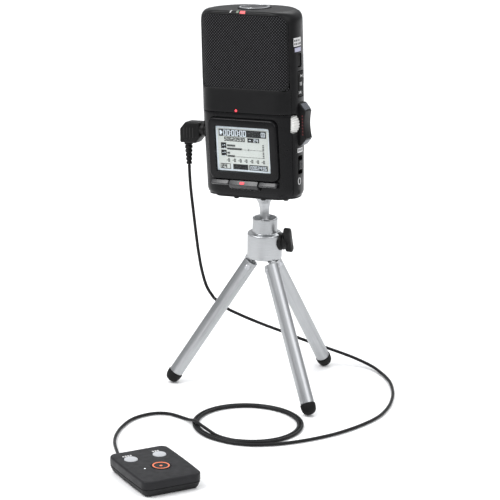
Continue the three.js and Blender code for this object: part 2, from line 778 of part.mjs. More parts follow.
const recorder = new THREE.Group();
recorder.position.set(0, -BUSH.y, HEAD.toBase);
head.add(recorder);
recorderCase(recorder);
screen(recorder);
controls(recorder);
internals(recorder);
piece(recorder, "base_pad", basePad(), "rubber");
[-SCREW.x, SCREW.x].forEach((x, i) => piece(recorder, `case_screw_${i + 1}`, caseScrew(x), "steel"));
piece(recorder, "plug", plugBody(), "rubber");
piece(recorder, "strain_relief", strainRelief(), "rubber");

const remote = new THREE.Group();
remote.position.set(REMOTE.x, REMOTE.y, 0);
remote.rotation.z = REMOTE.turn;
object.add(remote);
remoteControl(remote);
lead(object);

// The origin is the middle of the base of everything but the lead and its plug.
const onLead = ["plug", "strain_relief", "cord_drop", "cord_floor", "cord_loop", "cord_tail"];
const bounds = new THREE.Box3();
object.updateMatrixWorld(true);
object.traverse((part) => {
  if (part.isMesh && !onLead.includes(part.name)) bounds.expandByObject(part, true);
});
const middle = bounds.getCenter(new THREE.Vector3());
object.position.set(-middle.x, -middle.y, -bounds.min.z);

export default object;
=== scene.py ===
# A pocket field recorder on a small folding tripod, with its wired remote control lying in front.
# Sizes are in millimetres in each group's own axes: x right, y back, z up.
import bpy
import bmesh
import json
from math import asin, atan2, ceil, cos, hypot, pi, radians, sin, sqrt, tan
from mathutils import Matrix, Vector


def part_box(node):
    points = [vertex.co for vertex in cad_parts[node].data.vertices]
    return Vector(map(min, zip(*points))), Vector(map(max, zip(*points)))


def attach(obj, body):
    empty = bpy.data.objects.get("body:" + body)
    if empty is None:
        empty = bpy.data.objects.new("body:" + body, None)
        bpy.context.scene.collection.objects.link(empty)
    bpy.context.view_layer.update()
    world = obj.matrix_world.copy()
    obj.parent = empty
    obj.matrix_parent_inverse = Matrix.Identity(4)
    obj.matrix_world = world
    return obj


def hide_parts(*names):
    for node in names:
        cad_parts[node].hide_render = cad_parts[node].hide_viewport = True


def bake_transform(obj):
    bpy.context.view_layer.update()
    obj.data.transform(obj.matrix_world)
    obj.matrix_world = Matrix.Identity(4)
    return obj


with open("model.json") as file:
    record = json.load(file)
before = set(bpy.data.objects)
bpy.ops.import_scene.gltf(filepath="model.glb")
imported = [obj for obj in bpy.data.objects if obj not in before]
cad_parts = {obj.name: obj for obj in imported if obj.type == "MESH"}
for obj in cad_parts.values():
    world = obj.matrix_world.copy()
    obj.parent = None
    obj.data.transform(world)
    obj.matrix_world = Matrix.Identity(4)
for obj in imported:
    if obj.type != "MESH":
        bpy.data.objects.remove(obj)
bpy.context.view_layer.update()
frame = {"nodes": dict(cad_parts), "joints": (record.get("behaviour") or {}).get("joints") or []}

MM = 0.001
GAP = 0.3  # between neighbouring pieces

# ---- driving dimensions ----

HALF_WIDTH = 31.2
FRONT = 16.8
BACK = 19.4
HEIGHT = 111  # to the top of the dial
CASE_TOP = 110.1
FRONT_RADIUS = 11
BACK_RADIUS = 25
WALL = 1.8
WIDEST_Y = -5.7  # where the plan is at its full width
TAPER_TOP = 50
TAPER_DEPTH = 2.9
FRONT_SEAM = -8.5
BACK_SEAM = 6
BELT = (50.4, 64.3)
GRILLE_TOP = 108.2
TOP_RADII = (6, 1.7, 5)  # of the sides', front's and back's top edges
GRILLE_HALF_WIDTH = 28.8
GRILLE_CORNER = 6.2
COVER = (19, 13.8, 46)  # the battery cover's half width, front limit and top
WEAVE_PITCH = 1.8
SCREEN_HEIGHT = 28.8
BEZEL = (45.6, 36.6)
WINDOW = (36.6, 27.2)
DIAL_SPAN = (109.5, 110.85)
WHEEL = Vector((25, -9.5, 44.3))
JACK_HEIGHTS = {"jack_remote": 36.5, "jack_line": 50, "jack_phones": 60.5}
PLUG_Y = -2
BUSH_Y = 6.35
BALL = 5.4
BALL_BELOW = 21.5  # from the base of the case down to the ball's centre
LEG_LENGTH = 88.9
LEG_RADIUS = 4.2
LEG_BORE = 3.5
LOCK_AZIMUTH = radians(11.2)
LOCK_HEIGHT = 93.2
LOCK_TURN = radians(24)
REMOTE = (35.6, 47.5, 9.5)
REMOTE_SPLIT = 4.4
REMOTE_BOW = 0.03  # how much wider the middle is than the ends
REMOTE_TURN = radians(57.2)
CORD_RADIUS = 0.95

# ---- the lead's route, from the tripod's axis on the table ----

DROP_ROUTE = [
    (-48.9, -5.9, 133.6), (-48.5, -5.8, 126), (-48, -5.3, 117.7), (-46.8, -4.4, 105), (-45.7, -3.2, 92),
    (-44.6, -1.7, 79), (-43.3, 0.6, 66), (-41.4, 3.5, 55.2), (-38.6, 7.2, 47.6), (-33.3, 13.5, 40.2),
    (-28, 19.6, 35.4), (-22.5, 25.8, 31), (-16.3, 32.7, 26.4), (-9.2, 40.7, 21.4), (-1, 49, 15.8),
    (6.5, 55.6, 11.5), (15.5, 60.9, 7.8), (28.3, 64.3, 4.1), (42.5, 61.8, 1.8), (54.8, 53.7, 1),
]
HALF_WAY = 9  # the drop's point where its upper stretch hands over to its lower one
TABLE_ROUTE = [
    (54.8, 53.7, 1), (63, 45.2, 1), (70.5, 34.2, 1), (76.6, 22.2, 1), (81.8, 6.5, 1), (84.2, -10.5, 1),
    (82, -28, 1), (76.6, -46, 1), (70, -59.5, 1), (63.4, -69.7, 1), (57.4, -77.2, 1), (50.6, -83.6, 1),
    (41.5, -89.4, 1), (30, -92.4, 1),
]
COIL = Vector((24.6, -60.6))
COIL_REACH = Vector((32.6, 31.6))
COIL_START = radians(-101)
COIL_TURNS = 1.9
COIL_PITCH = 2.0  # each turn lies just inside the one before
COIL_STEPS = 24  # points in a turn
for step in range(1 + round(COIL_STEPS * COIL_TURNS)):
    turns = step / COIL_STEPS
    heading = COIL_START - 2 * pi * turns
    drawn_in = COIL_PITCH * turns
    coil_x = COIL.x + (COIL_REACH.x - drawn_in) * cos(heading)
    coil_y = COIL.y + (COIL_REACH.y - drawn_in) * sin(heading)
    TABLE_ROUTE.append((coil_x, coil_y, 1))
TABLE_ROUTE += [
    (27.5, -88.2, 1), (18.5, -87.3, 1.3), (10.2, -84.3, 2.5), (3.2, -80.6, 2.95), (-2.6, -77.2, 2.9),
    (-7.9, -74.3, 1.5), (-12.6, -72.4, 1), (-21.8, -70.8, 1), (-28, -72.4, 1),
    (-32.6, -76.6, 1), (-35.9, -83, 1), (-37.3, -90, 1), (-36.9, -97.5, 1), (-35.4, -105.5, 1),
    (-33, -113.2, 1.1), (-29.8, -120.5, 1.4), (-25.6, -128, 2), (-20.4, -135.6, 2.9), (-14.5, -143.4, 3.9),
    (-8.4, -151.2, 4.6),
]

# ---- each group's own frame ----

joints = {joint["name"]: joint for joint in frame["joints"]}
WORLD_UP = Vector((0, 0, 1))


def axes(x, y, z, origin):
    turn = Matrix((x, y, z)).transposed().to_4x4()
    return Matrix.Translation(origin) @ turn


head_place = Vector(joints["head_pan"]["pos_m"])
up = Vector(joints["mode_dial_turn"]["axis"]).normalized()
back = Vector(joints["gain_wheel_turn"]["axis"]).normalized()
right = back.cross(up)
RECORDER = axes(right, back, up, Vector(joints["mode_dial_turn"]["pos_m"]) - HEIGHT * MM * up)
TRIPOD = Matrix.Translation((head_place.x, head_place.y, 0))
LOCK = TRIPOD @ Matrix.Translation((0, 0, LOCK_HEIGHT * MM)) @ Matrix.Rotation(LOCK_AZIMUTH, 4, "Z")
remote_low, remote_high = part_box("remote_base")
remote_middle = (remote_low + remote_high) / 2
remote_spot = Matrix.Translation((remote_middle.x, remote_middle.y, 0))
REMOTE_PLACE = remote_spot @ Matrix.Rotation(REMOTE_TURN, 4, "Z")


def leg_place(number):
    joint = joints[f"leg_{number}_fold"]
    spread = radians(joint["range_deg"][1])
    side = Vector(joint["axis"]).normalized()
    outward = side.cross(WORLD_UP)
    along = cos(spread) * WORLD_UP - sin(spread) * outward
    foot = Vector(joint["pos_m"]) - LEG_LENGTH * MM * along
    return axes(side.cross(along), side, along, foot)


# The lower face slopes in towards the base: this frame's origin is the screen's middle on that face.
face_slope = atan2(TAPER_DEPTH, TAPER_TOP)
face_y = -FRONT + TAPER_DEPTH * (1 - SCREEN_HEIGHT / TAPER_TOP)
FACE = (
    RECORDER
    @ Matrix.Translation(Vector((-0.4, face_y, SCREEN_HEIGHT)) * MM)
    @ Matrix.Rotation(face_slope, 4, "X")
)

# ---- camera ----

CAMERA_AZIMUTH = radians(29.18)
CAMERA_ELEVATION = radians(17.8)
CAMERA_ROLL = radians(0.75)
CAMERA_DISTANCE = 1.7857
CAMERA_LENS = 216
CAMERA_AIM = Vector((-0.00565, 0.06042, 0.0865))


def make_camera():
    data = bpy.data.cameras.new("camera")
    data.lens = CAMERA_LENS
    data.sensor_width = 36
    data.clip_start = 0.05
    data.clip_end = 20
    camera = bpy.data.objects.new("camera", data)
    bpy.context.scene.collection.objects.link(camera)
    backward = Vector((
        sin(CAMERA_AZIMUTH) * cos(CAMERA_ELEVATION),
        -cos(CAMERA_AZIMUTH) * cos(CAMERA_ELEVATION),
        sin(CAMERA_ELEVATION),
    ))
    level = Vector((cos(CAMERA_AZIMUTH), sin(CAMERA_AZIMUTH), 0))
    upright = backward.cross(level)
    x = cos(CAMERA_ROLL) * level + sin(CAMERA_ROLL) * upright
    y = cos(CAMERA_ROLL) * upright - sin(CAMERA_ROLL) * level
    camera.matrix_world = axes(x, y, backward, CAMERA_AIM + CAMERA_DISTANCE * backward)
    bpy.context.scene.camera = camera


make_camera()

# ---- meshes ----


def made(name, vertices, faces, place=RECORDER, smooth=34):
    """A mesh object from points in millimetres in its own frame, smooth but for edges over an angle."""
    data = bpy.data.meshes.new(name)
    data.from_pydata([Vector(v) * MM for v in vertices], [], faces)
    mesh = bmesh.new()
    mesh.from_mesh(data)
    bmesh.ops.remove_doubles(mesh, verts=mesh.verts, dist=1e-6)
    bmesh.ops.recalc_face_normals(mesh, faces=mesh.faces)
    mesh.to_mesh(data)
    mesh.free()
    data.shade_smooth()
    data.set_sharp_from_angle(angle=radians(smooth))
    obj = bpy.data.objects.new(name, data)
    bpy.context.scene.collection.objects.link(obj)
    obj.matrix_world = place
    return obj


def skinned(rings, wrap=False):
    """Vertices and faces of a surface through rings of equally many points."""
    count = len(rings[0])
    vertices = [point for ring in rings for point in ring]
    faces = []
    for r in range(len(rings) - (0 if wrap else 1)):
        low = r * count
        high = (r + 1) % len(rings) * count
        for i in range(count):
            j = (i + 1) % count
            faces.append((low + i, low + j, high + j, high + i))
    if not wrap:
        faces.append(tuple(range(count)))
        faces.append(tuple(range(len(vertices) - count, len(vertices))))
    return vertices, faces


ORDER = {"x": lambda u, v, h: (h, u, v), "y": lambda u, v, h: (u, h, v), "z": lambda u, v, h: (u, v, h)}


def arc_corners(corners, steps=6):
    """A closed outline through corners (u, v, radius), each rounded by a true arc."""
    points = []
    for i, (u, v, radius) in enumerate(corners):
        corner = Vector((u, v))
        before = (Vector(corners[i - 1][:2]) - corner).normalized()
        after = (Vector(corners[(i + 1) % len(corners)][:2]) - corner).normalized()
        if radius == 0:
            points.append(corner)
            continue
        half = before.angle(after) / 2
        reach = radius / tan(half)
        centre = corner + (before + after).normalized() * (radius / sin(half))
        first = corner + before * reach - centre
        last = corner + after * reach - centre
        sweep = first.angle_signed(last)
        for step in range(steps + 1):
            points.append(centre + Matrix.Rotation(-sweep * step / steps, 2) @ first)
    return points


def rounded(u0, u1, v0, v1, radius, steps=6):
    return arc_corners([(u0, v0, radius), (u1, v0, radius), (u1, v1, radius), (u0, v1, radius)], steps)


def divided(points, step):
    """The same closed outline, with its long edges cut into short ones."""
    result = []
    for a, b in zip(points, points[1:] + points[:1]):
        count = max(1, ceil((b - a).length / step))
        result += [a + (b - a) * i / count for i in range(count)]
    return result


def inset(points, distance):
    """The outline moved inwards, each point along the bisector of its two sides."""
    turning = sum(a.x * b.y - a.y * b.x for a, b in zip(points, points[1:] + points[:1]))
    sign = 1 if turning > 0 else -1
    moved = []
    for i, point in enumerate(points):
        along = (points[(i + 1) % len(points)] - points[i - 1]).normalized()
        moved.append(point + sign * distance * Vector((-along.y, along.x)))
    return moved


def slab(name, points, low, high, axis, place=RECORDER, edge=0.4, low_edge=None, steps=4):
    """A plate of an outline between two heights along an axis, with rounded edges."""
    low_edge = edge if low_edge is None else low_edge
    rings = []
    for step in range(steps + 1):
        turn = pi / 2 * step / steps
        rings.append((low_edge * (1 - sin(turn)), low + low_edge * (1 - cos(turn))))
    for step in range(steps + 1):
        turn = pi / 2 * step / steps
        rings.append((edge * (1 - cos(turn)), high - edge * (1 - sin(turn))))
    swap = ORDER[axis]
    loops = [[swap(p.x, p.y, h) for p in inset(points, d)] for d, h in rings]
    return made(name, *skinned(loops), place)


def turned(name, profile, place=RECORDER, axis="z", centre=(0, 0), sides=64):
    """A solid of revolution from (radius, height) pairs; the ends close on the axis."""
    swap = ORDER[axis]
    turns = [2 * pi * i / sides for i in range(sides)]
    loops = []
    for radius, height in profile:
        radius = max(radius, 0.001)
        loops.append([
            swap(centre[0] + radius * cos(t), centre[1] + radius * sin(t), height) for t in turns
        ])
    wrap = profile[0] == profile[-1]
    if wrap:
        loops.pop()
    return made(name, *skinned(loops, wrap=wrap), place)


def softened(profile, radius=0.3, steps=3):
    """A profile with its corners rounded off."""
    points = [Vector(p) for p in profile]
    result = [points[0]]
    for before, corner, after in zip(points, points[1:], points[2:]):
        reach = min(radius, (before - corner).length / 2.2, (after - corner).length / 2.2)
        start = corner + (before - corner).normalized() * reach
        end = corner + (after - corner).normalized() * reach
        for step in range(steps + 1):
            t = step / steps
            result.append((1 - t) ** 2 * start + 2 * t * (1 - t) * corner + t * t * end)
    result.append(points[-1])
    return [tuple(p) for p in result]


def tube(name, path, radius, place=RECORDER, sides=12, closed=False):
    """A round bar along a path, with an untwisted section."""
    path = [Vector(p) for p in path]
    count = len(path)
    turns = [2 * pi * k / sides for k in range(sides)]
    side = None
    rings = []
    for i, point in enumerate(path):
        ahead = path[(i + 1) % count] if closed or i < count - 1 else point
        behind = path[i - 1] if closed or i > 0 else point
        along = (ahead - behind).normalized()
        if side is None:
            side = along.orthogonal().normalized()
        side = (side - along * side.dot(along)).normalized()
        other = along.cross(side)
        rings.append([point + radius * (cos(t) * side + sin(t) * other) for t in turns])
    return made(name, *skinned(rings, wrap=closed), place, smooth=60)


def cut(obj, *cutters):
    """obj less the cutters, which are removed."""
    place = obj.matrix_world.copy()
    for cutter in cutters:
        modifier = obj.modifiers.new("cut", "BOOLEAN")
        modifier.operation = "DIFFERENCE"
        modifier.solver = "EXACT"
        modifier.object = cutter
    bpy.context.view_layer.update()
    result = bpy.data.meshes.new_from_object(obj.evaluated_get(bpy.context.evaluated_depsgraph_get()))
    obj.modifiers.clear()
    obj.data = result
    obj.matrix_world = place
    result.shade_smooth()
    result.set_sharp_from_angle(angle=radians(30))
    for cutter in cutters:
        bpy.data.objects.remove(cutter)
    return obj


def joined(name, objects):
    """One object of several that share a frame."""
    mesh = bmesh.new()
    for obj in objects:
        mesh.from_mesh(obj.data)
    first = objects[0]
    mesh.to_mesh(first.data)
    mesh.free()
    first.data.shade_smooth()
    first.data.set_sharp_from_angle(angle=radians(34))
    for other in objects[1:]:
        bpy.data.objects.remove(other)
    first.name = name
    return first


def block(x0, x1, y0, y1, z0, z1, place=RECORDER):
    outline = [Vector((x0, y0)), Vector((x1, y0)), Vector((x1, y1)), Vector((x0, y1))]
    loops = [[(p.x, p.y, z) for p in outline] for z in (z0, z1)]
    return made("block", *skinned(loops), place)


def spline(points, step=1.2):
    """Points close together on a smooth curve through the given ones."""
    points = [Vector(p) for p in points]
    ends = [2 * points[0] - points[1], *points, 2 * points[-1] - points[-2]]
    path = []
    for a, b, c, d in zip(ends, ends[1:], ends[2:], ends[3:]):
        pieces = max(2, ceil((c - b).length / step))
        for k in range(pieces):
            t = k / pieces
            path.append(0.5 * (
                2 * b + (c - a) * t + (2 * a - 5 * b + 4 * c - d) * t * t
                + (3 * b - a - 3 * c + d) * t ** 3
            ))
    path.append(points[-1])
    return path


# ---- materials ----


class Look:
    """A material with short ways to add and join its nodes."""

    def __init__(self, name, **sockets):
        self.material = bpy.data.materials.new(name)
        self.material.use_nodes = True
        self.tree = self.material.node_tree
        self.shader = self.tree.nodes["Principled BSDF"]
        for key, value in sockets.items():
            self.shader.inputs[key.replace("_", " ")].default_value = value
        self.place = self.add("TexCoord").outputs["Object"]

    def add(self, kind, inputs=(), **settings):
        node = self.tree.nodes.new("ShaderNode" + kind)
        for key, value in settings.items():
            setattr(node, key, value)
        for key, value in dict(inputs).items():
            if isinstance(value, bpy.types.NodeSocket):
                self.tree.links.new(value, node.inputs[key])
            else:
                node.inputs[key].default_value = value
        return node

    def set(self, socket, value):
        self.tree.links.new(value, self.shader.inputs[socket])

    def noise(self, scale, detail=3, stretch=None):
        where = self.place
        if stretch:
            where = self.add("Mapping", {"Vector": where, "Scale": stretch}).outputs["Vector"]
        node = self.add("TexNoise", {"Vector": where, "Scale": scale, "Detail": detail})
        return node.outputs["Fac"]

    def ranged(self, value, low, high, to_low=0.0, to_high=1.0):
        node = self.add("MapRange", {
            "Value": value, "From Min": low, "From Max": high, "To Min": to_low, "To Max": to_high,
        })
        return node.outputs["Result"]

    def mix(self, amount, first, second):
        node = self.add("Mix", data_type="RGBA")
        for index, value in ((0, amount), (6, first), (7, second)):
            if isinstance(value, bpy.types.NodeSocket):
                self.tree.links.new(value, node.inputs[index])
            else:
                node.inputs[index].default_value = value
        return node.outputs[2]

    def bump(self, height, distance, strength):
        inputs = {"Height": height, "Distance": distance * MM, "Strength": strength}
        return self.add("Bump", inputs).outputs["Normal"]


def tone(colour, factor):
    return (*(min(1.0, c * factor) for c in colour), 1.0)


def moulded(
    name, colour, roughness, spread=0.08, grain=0.02, grain_size=0.35, variation=0.18, wear=0.25, **sockets,
):
    """Moulded plastic or rubber: faint clouding, a fine grain, uneven gloss and edges rubbed lighter."""
    look = Look(name, **sockets)
    cloud = look.ranged(look.noise(90, 4), 0.3, 0.7)
    speck = look.ranged(look.noise(1600, 2), 0.35, 0.65)
    base = look.mix(cloud, tone(colour, 1 - variation), tone(colour, 1 + variation))
    base = look.mix(look.ranged(speck, 0, 1, 0, 0.35), base, tone(colour, 1 + 2 * variation))
    edge = look.ranged(look.add("NewGeometry").outputs["Pointiness"], 0.52, 0.62, 0, wear)
    rubbed = tone([c + 0.05 for c in colour], 1.5)
    look.set("Base Color", look.mix(edge, base, rubbed))
    look.set("Roughness", look.ranged(look.noise(220, 4), 0.3, 0.7, roughness - spread, roughness + spread))
    fine = look.noise(1000 / grain_size, 2)
    look.set("Normal", look.bump(fine, grain, 0.8))
    return look.material


def brushed(name, colour, roughness, stretch, variation=0.12):
    """Metal with fine drawn or turned lines, across the axes with the large stretch."""
    look = Look(name, Metallic=1.0, Anisotropic=0.35)
    lines = look.noise(1, 3, stretch)
    cloud = look.ranged(look.noise(60, 4), 0.3, 0.7)
    base = look.mix(look.ranged(lines, 0.3, 0.7), tone(colour, 1 - variation), tone(colour, 1 + variation))
    base = look.mix(look.ranged(cloud, 0, 1, 0, 0.3), base, tone(colour, 0.8))
    look.set("Base Color", base)
    look.set("Roughness", look.ranged(lines, 0.25, 0.75, roughness - 0.07, roughness + 0.1))
    look.set("Normal", look.bump(lines, 0.012, 0.7))
    return look.material


def woven():
    """Black wire cloth from each point's height in the weave: the crossings painted paler as a highlight, the
    openings painted near-black as the shade inside them.
    """
    look = Look("woven_wire_painted_highlight_and_shade", Specular_IOR_Level=0.07)
    height = look.add("Attribute", attribute_name="weave").outputs["Fac"]
    patches = look.ranged(look.noise(700, 3), 0.35, 0.65)
    wire = look.mix(patches, tone((0.003, 0.003, 0.0033), 0.8), tone((0.005, 0.005, 0.0055), 1.2))
    # Painted highlight: the highest points of the weave, its crossings, turn a paler grey.
    crest = look.mix(look.ranged(height, 0.84, 1.0, 0, 1.0), wire, tone((0.075, 0.075, 0.079), 1))
    # Painted shade: the low points, where the openings lie, are near-black.
    look.set("Base Color", look.mix(look.ranged(height, 0.1, 0.45), tone((0.001, 0.001, 0.001), 1), crest))
    look.set("Roughness", look.ranged(height, 0.3, 1.0, 0.75, 0.36))
    look.set("Normal", look.bump(look.noise(2600, 2), 0.01, 0.6))
    return look.material


def screen_panel():
    """A lit liquid-crystal panel: a fine grid of dots, brighter towards its lower edge."""
    look = Look("lcd_panel")
    across = look.add("SeparateXYZ", {"Vector": look.place}).outputs
    dots = look.noise(2600, 1)
    fade = look.ranged(across["Z"], -0.014, 0.014)
    base = look.mix(fade, tone((0.58, 0.615, 0.585), 1), tone((0.5, 0.535, 0.515), 1))
    base = look.mix(look.ranged(dots, 0.35, 0.65, 0, 0.2), base, tone((0.43, 0.465, 0.45), 1))
    look.set("Base Color", base)
    look.tree.links.new(base, look.shader.inputs["Emission Color"])
    look.shader.inputs["Emission Strength"].default_value = 0.1
    look.set("Roughness", look.ranged(look.noise(300, 2), 0.3, 0.7, 0.35, 0.5))
    return look.material


def clear_window():
    """A thin clear cover: see-through but for its reflections."""
    look = Look("clear_window", Roughness=0.05, Alpha=0.04)
    look.set("Roughness", look.ranged(look.noise(150, 3), 0.3, 0.7, 0.03, 0.1))
    look.shader.inputs["Base Color"].default_value = (0.02, 0.022, 0.024, 1)
    return look.material


def printed(name, colour, glow=0.0):
    """Ink or a small lamp: an even colour with the faint mottle of a printed patch."""
    look = Look(name)
    mottle = look.ranged(look.noise(1400, 3), 0.3, 0.7)
    base = look.mix(mottle, tone(colour, 0.86), tone(colour, 1.08))
    look.set("Base Color", base)
    look.set("Roughness", look.ranged(look.noise(500, 2), 0.3, 0.7, 0.4, 0.6))
    if glow:
        look.tree.links.new(base, look.shader.inputs["Emission Color"])
        look.shader.inputs["Emission Strength"].default_value = glow
    return look.material


def circuit():
    """Green solder mask over faint copper tracks."""
    look = Look("circuit_board")
    tracks = look.add("TexBrick", {
        "Vector": look.place, "Scale": 350, "Mortar Size": 0.08,
        "Color1": tone((0.01, 0.09, 0.035), 1), "Color2": tone((0.012, 0.12, 0.05), 1),
        "Mortar": tone((0.05, 0.2, 0.07), 1),
    })
    look.set("Base Color", tracks.outputs["Color"])
    look.set("Roughness", look.ranged(look.noise(500, 2), 0.3, 0.7, 0.35, 0.55))
    return look.material


DULL = {"Specular_IOR_Level": 0.16}  # black mouldings shine less than clear plastic
CASE_BLACK = moulded(
    "case_black", (0.0062, 0.0062, 0.0066), 0.34, spread=0.05, grain=0.012, wear=0.1, **DULL,
)
GLOSS_BLACK = moulded(
    "gloss_black", (0.0045, 0.0045, 0.005), 0.22, spread=0.06, grain=0.004, wear=0.08, **DULL,
)
RUBBER = moulded(
    "black_rubber", (0.006, 0.006, 0.006), 0.6, spread=0.08, grain=0.03, grain_size=0.25, **DULL,
)
PLUG_BLACK = moulded("plug_black", (0.006, 0.006, 0.006), 0.42, spread=0.08, grain=0.02, **DULL)
CORD_BLACK = moulded(
    "cord_black", (0.006, 0.006, 0.0064), 0.4, spread=0.08, grain=0.015, grain_size=0.5, **DULL,
)
WHITE_PLASTIC = moulded("white_plastic", (0.62, 0.62, 0.6), 0.42, grain=0.01, variation=0.06)
REMOTE_TOP = moulded(
    "remote_top", (0.0135, 0.0135, 0.015), 0.4, grain=0.012, grain_size=0.3, wear=0.1, **DULL,
)
REMOTE_BASE = moulded("remote_base_grey", (0.009, 0.009, 0.0095), 0.6, grain=0.03, grain_size=0.5, **DULL)
ORANGE = moulded("orange_key", (0.84, 0.17, 0.065), 0.4, grain=0.008, variation=0.08)
GREY_KEY = moulded("grey_key", (0.42, 0.43, 0.45), 0.42, grain=0.008, variation=0.08)
# Painted highlight: black plastic given a lighter grey to stand in for the light caught by the ledge under
# the screen, the record key and the slide's ridges.
PAINTED_HIGHLIGHT_BLACK = moulded("painted_highlight_black", (0.013, 0.013, 0.0145), 0.28, spread=0.05, grain=0.006, wear=0.2)
# Painted highlight: a pale blue-grey for the guard's sloped end facets, where they catch the light.
GUARD_FACET_PAINTED_HIGHLIGHT = moulded("guard_facet_painted_highlight", (0.05, 0.055, 0.068), 0.3, grain=0.01)
DARK_METAL = brushed("dark_metal", (0.06, 0.06, 0.065), 0.32, (300, 300, 6000))
DRAWN_ALUMINIUM = brushed("drawn_aluminium", (0.42, 0.43, 0.44), 0.34, (5000, 5000, 60))
TURNED_ALUMINIUM = brushed("turned_aluminium", (0.42, 0.43, 0.44), 0.34, (200, 200, 6000))
STEEL = brushed("steel", (0.5, 0.51, 0.53), 0.3, (3000, 3000, 3000))
BRASS = brushed("brass", (0.6, 0.43, 0.17), 0.3, (200, 200, 5000))
BATTERY = brushed("battery_can", (0.35, 0.2, 0.09), 0.35, (300, 300, 3000))
WEAVE_PAINTED_HIGHLIGHT_AND_SHADE = woven()
BOARD = circuit()
PANEL = screen_panel()
CLEAR = clear_window()
INK = printed("screen_ink", (0.006, 0.0075, 0.008))
PALE_INK = printed("screen_light", (0.66, 0.73, 0.78), 0.14)
WHITE_PRINT = printed("white_print", (0.6, 0.6, 0.6))
LILAC_PRINT = printed("lilac_print", (0.4, 0.4, 0.52))
# A printed mark with a faint glow: painted light, since it is no lamp.
RED_MARK_PAINTED_GLOW = printed("red_mark_painted_glow", (0.75, 0.12, 0.13), 0.1)
RED_PRINT = printed("red_print", (0.09, 0.008, 0.01))
RED_LAMP = printed("red_lamp", (0.9, 0.06, 0.08), 0.9)
WHITE_LAMP = printed("white_lamp", (0.85, 0.88, 0.9), 0.5)
GREEN_PRINT = printed("green_print", (0.16, 0.2, 0.15))


def finish(obj, body, slot, material, *nodes):
    """Gives a piece its material and its body and hides the CAD nodes it stands for; the slot argument is not
    used.
    """
    obj.data.materials.clear()
    obj.data.materials.append(material)
    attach(obj, body)
    if nodes:
        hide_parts(*nodes)
    return obj


# ---- lead ----


def lead():
    def placed(points):
        return [TRIPOD @ (p * MM) for p in spline(points)]

    def strand(name, points):
        path = placed(points)
        inverse = TRIPOD.inverted()
        obj = tube(name, [inverse @ p / MM for p in path], CORD_RADIUS, TRIPOD, sides=14)
        obj.data.materials.append(CORD_BLACK)
        return obj, path

    upper, upper_path = strand("cord_upper", DROP_ROUTE[:HALF_WAY])
    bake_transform(upper)
    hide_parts("cord_drop")
    lower, lower_path = strand("cord_lower", DROP_ROUTE[HALF_WAY - 1:])
    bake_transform(lower)
    table, table_path = strand("cord_table", TABLE_ROUTE)
    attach(table, "tripod")
    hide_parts("cord_floor", "cord_loop", "cord_tail")


def plug():
    outline = arc_corners([
        (-49.8, 28.3, 1), (-39.4, 28.3, 1), (-36, 32.3, 1), (-36, 41, 1.2), (-45.8, 41, 2), (-49.8, 36.6, 2),
    ])
    body = slab("plug_body", outline, PLUG_Y - 4.2, PLUG_Y + 4.2, "y", edge=1.1)
    ridges = []
    for i in range(4):
        x = -46.5 + 2 * i
        for side in (-1, 1):
            y = PLUG_Y + side * 4.1
            ridges.append(tube("ridge", [(x, y, 31.5), (x, y, 37.5)], 0.35, sides=8))
    collar = turned("collar", softened([
        (0, -36.4), (4, -36.4), (4, -33.6), (3.6, -33.6), (3.6, -32.8), (4, -32.8), (4, -31.8), (0, -31.8),
    ], 0.25), RECORDER, "x", (PLUG_Y, JACK_HEIGHTS["jack_remote"]))
    pin = turned("pin", [(0, -36), (1.7, -36), (1.7, -22), (0, -22)], RECORDER, "x",
                 (PLUG_Y, JACK_HEIGHTS["jack_remote"]), 24)
    finish(joined("plug_body", [body, *ridges, collar, pin]), "recorder", "black_rubber", PLUG_BLACK, "plug")


def lead_relief():
    profile = [(0, 15), (1.3, 15)]
    for rib in range(5):
        z = 15 + rib * 2.4
        radius = 1.7 + rib * 0.16
        profile += [(radius, z + 0.1), (radius, z + 1.4), (radius - 0.4, z + 1.6), (radius - 0.4, z + 2.25)]
    profile += [(2.6, 27.1), (2.6, 28.2), (0, 28.2)]
    obj = turned("lead_relief", softened(profile, 0.2), centre=(-46, PLUG_Y), sides=40)
    finish(obj, "recorder", "black_rubber", RUBBER, "strain_relief")


plug()
lead_relief()
lead()

# ---- recorder case ----

CORNER_ARC = FRONT_RADIUS * pi / 2
BACK_ARC = BACK_RADIUS * pi / 2
FLAT_FRONT = HALF_WIDTH - FRONT_RADIUS
SIDE_FLAT = (FRONT - FRONT_RADIUS) - (BACK_RADIUS - BACK)
HALF_ROUND = FLAT_FRONT + CORNER_ARC + SIDE_FLAT + BACK_ARC + HALF_WIDTH - BACK_RADIUS


def quarter(z, start, radius):
    """How far a rounded top edge of that radius has drawn in at a height."""
    t = min(1, max(0, (z - start) / radius))
    return radius * (1 - sqrt(1 - t * t))


def plan(s):
    """Position and outward direction at a distance round the plan from the middle of the front."""
    s = (s + HALF_ROUND) % (2 * HALF_ROUND) - HALF_ROUND
    side = 1 if s >= 0 else -1
    s = abs(s)
    if s <= FLAT_FRONT:
        x, y, turn = s, -FRONT, -pi / 2
    elif s <= FLAT_FRONT + CORNER_ARC:
        turn = (s - FLAT_FRONT) / FRONT_RADIUS - pi / 2
        x = FLAT_FRONT + FRONT_RADIUS * cos(turn)
        y = FRONT_RADIUS - FRONT + FRONT_RADIUS * sin(turn)
    elif s <= FLAT_FRONT + CORNER_ARC + SIDE_FLAT:
        x, y, turn = HALF_WIDTH, FRONT_RADIUS - FRONT + s - FLAT_FRONT - CORNER_ARC, 0
    elif s <= HALF_ROUND - (HALF_WIDTH - BACK_RADIUS):
        turn = (s - FLAT_FRONT - CORNER_ARC - SIDE_FLAT) / BACK_RADIUS
        x = HALF_WIDTH - BACK_RADIUS + BACK_RADIUS * cos(turn)
        y = BACK - BACK_RADIUS + BACK_RADIUS * sin(turn)
    else:
        x, y, turn = HALF_ROUND - s, BACK, pi / 2
    return side * x, y, side * cos(turn), sin(turn)


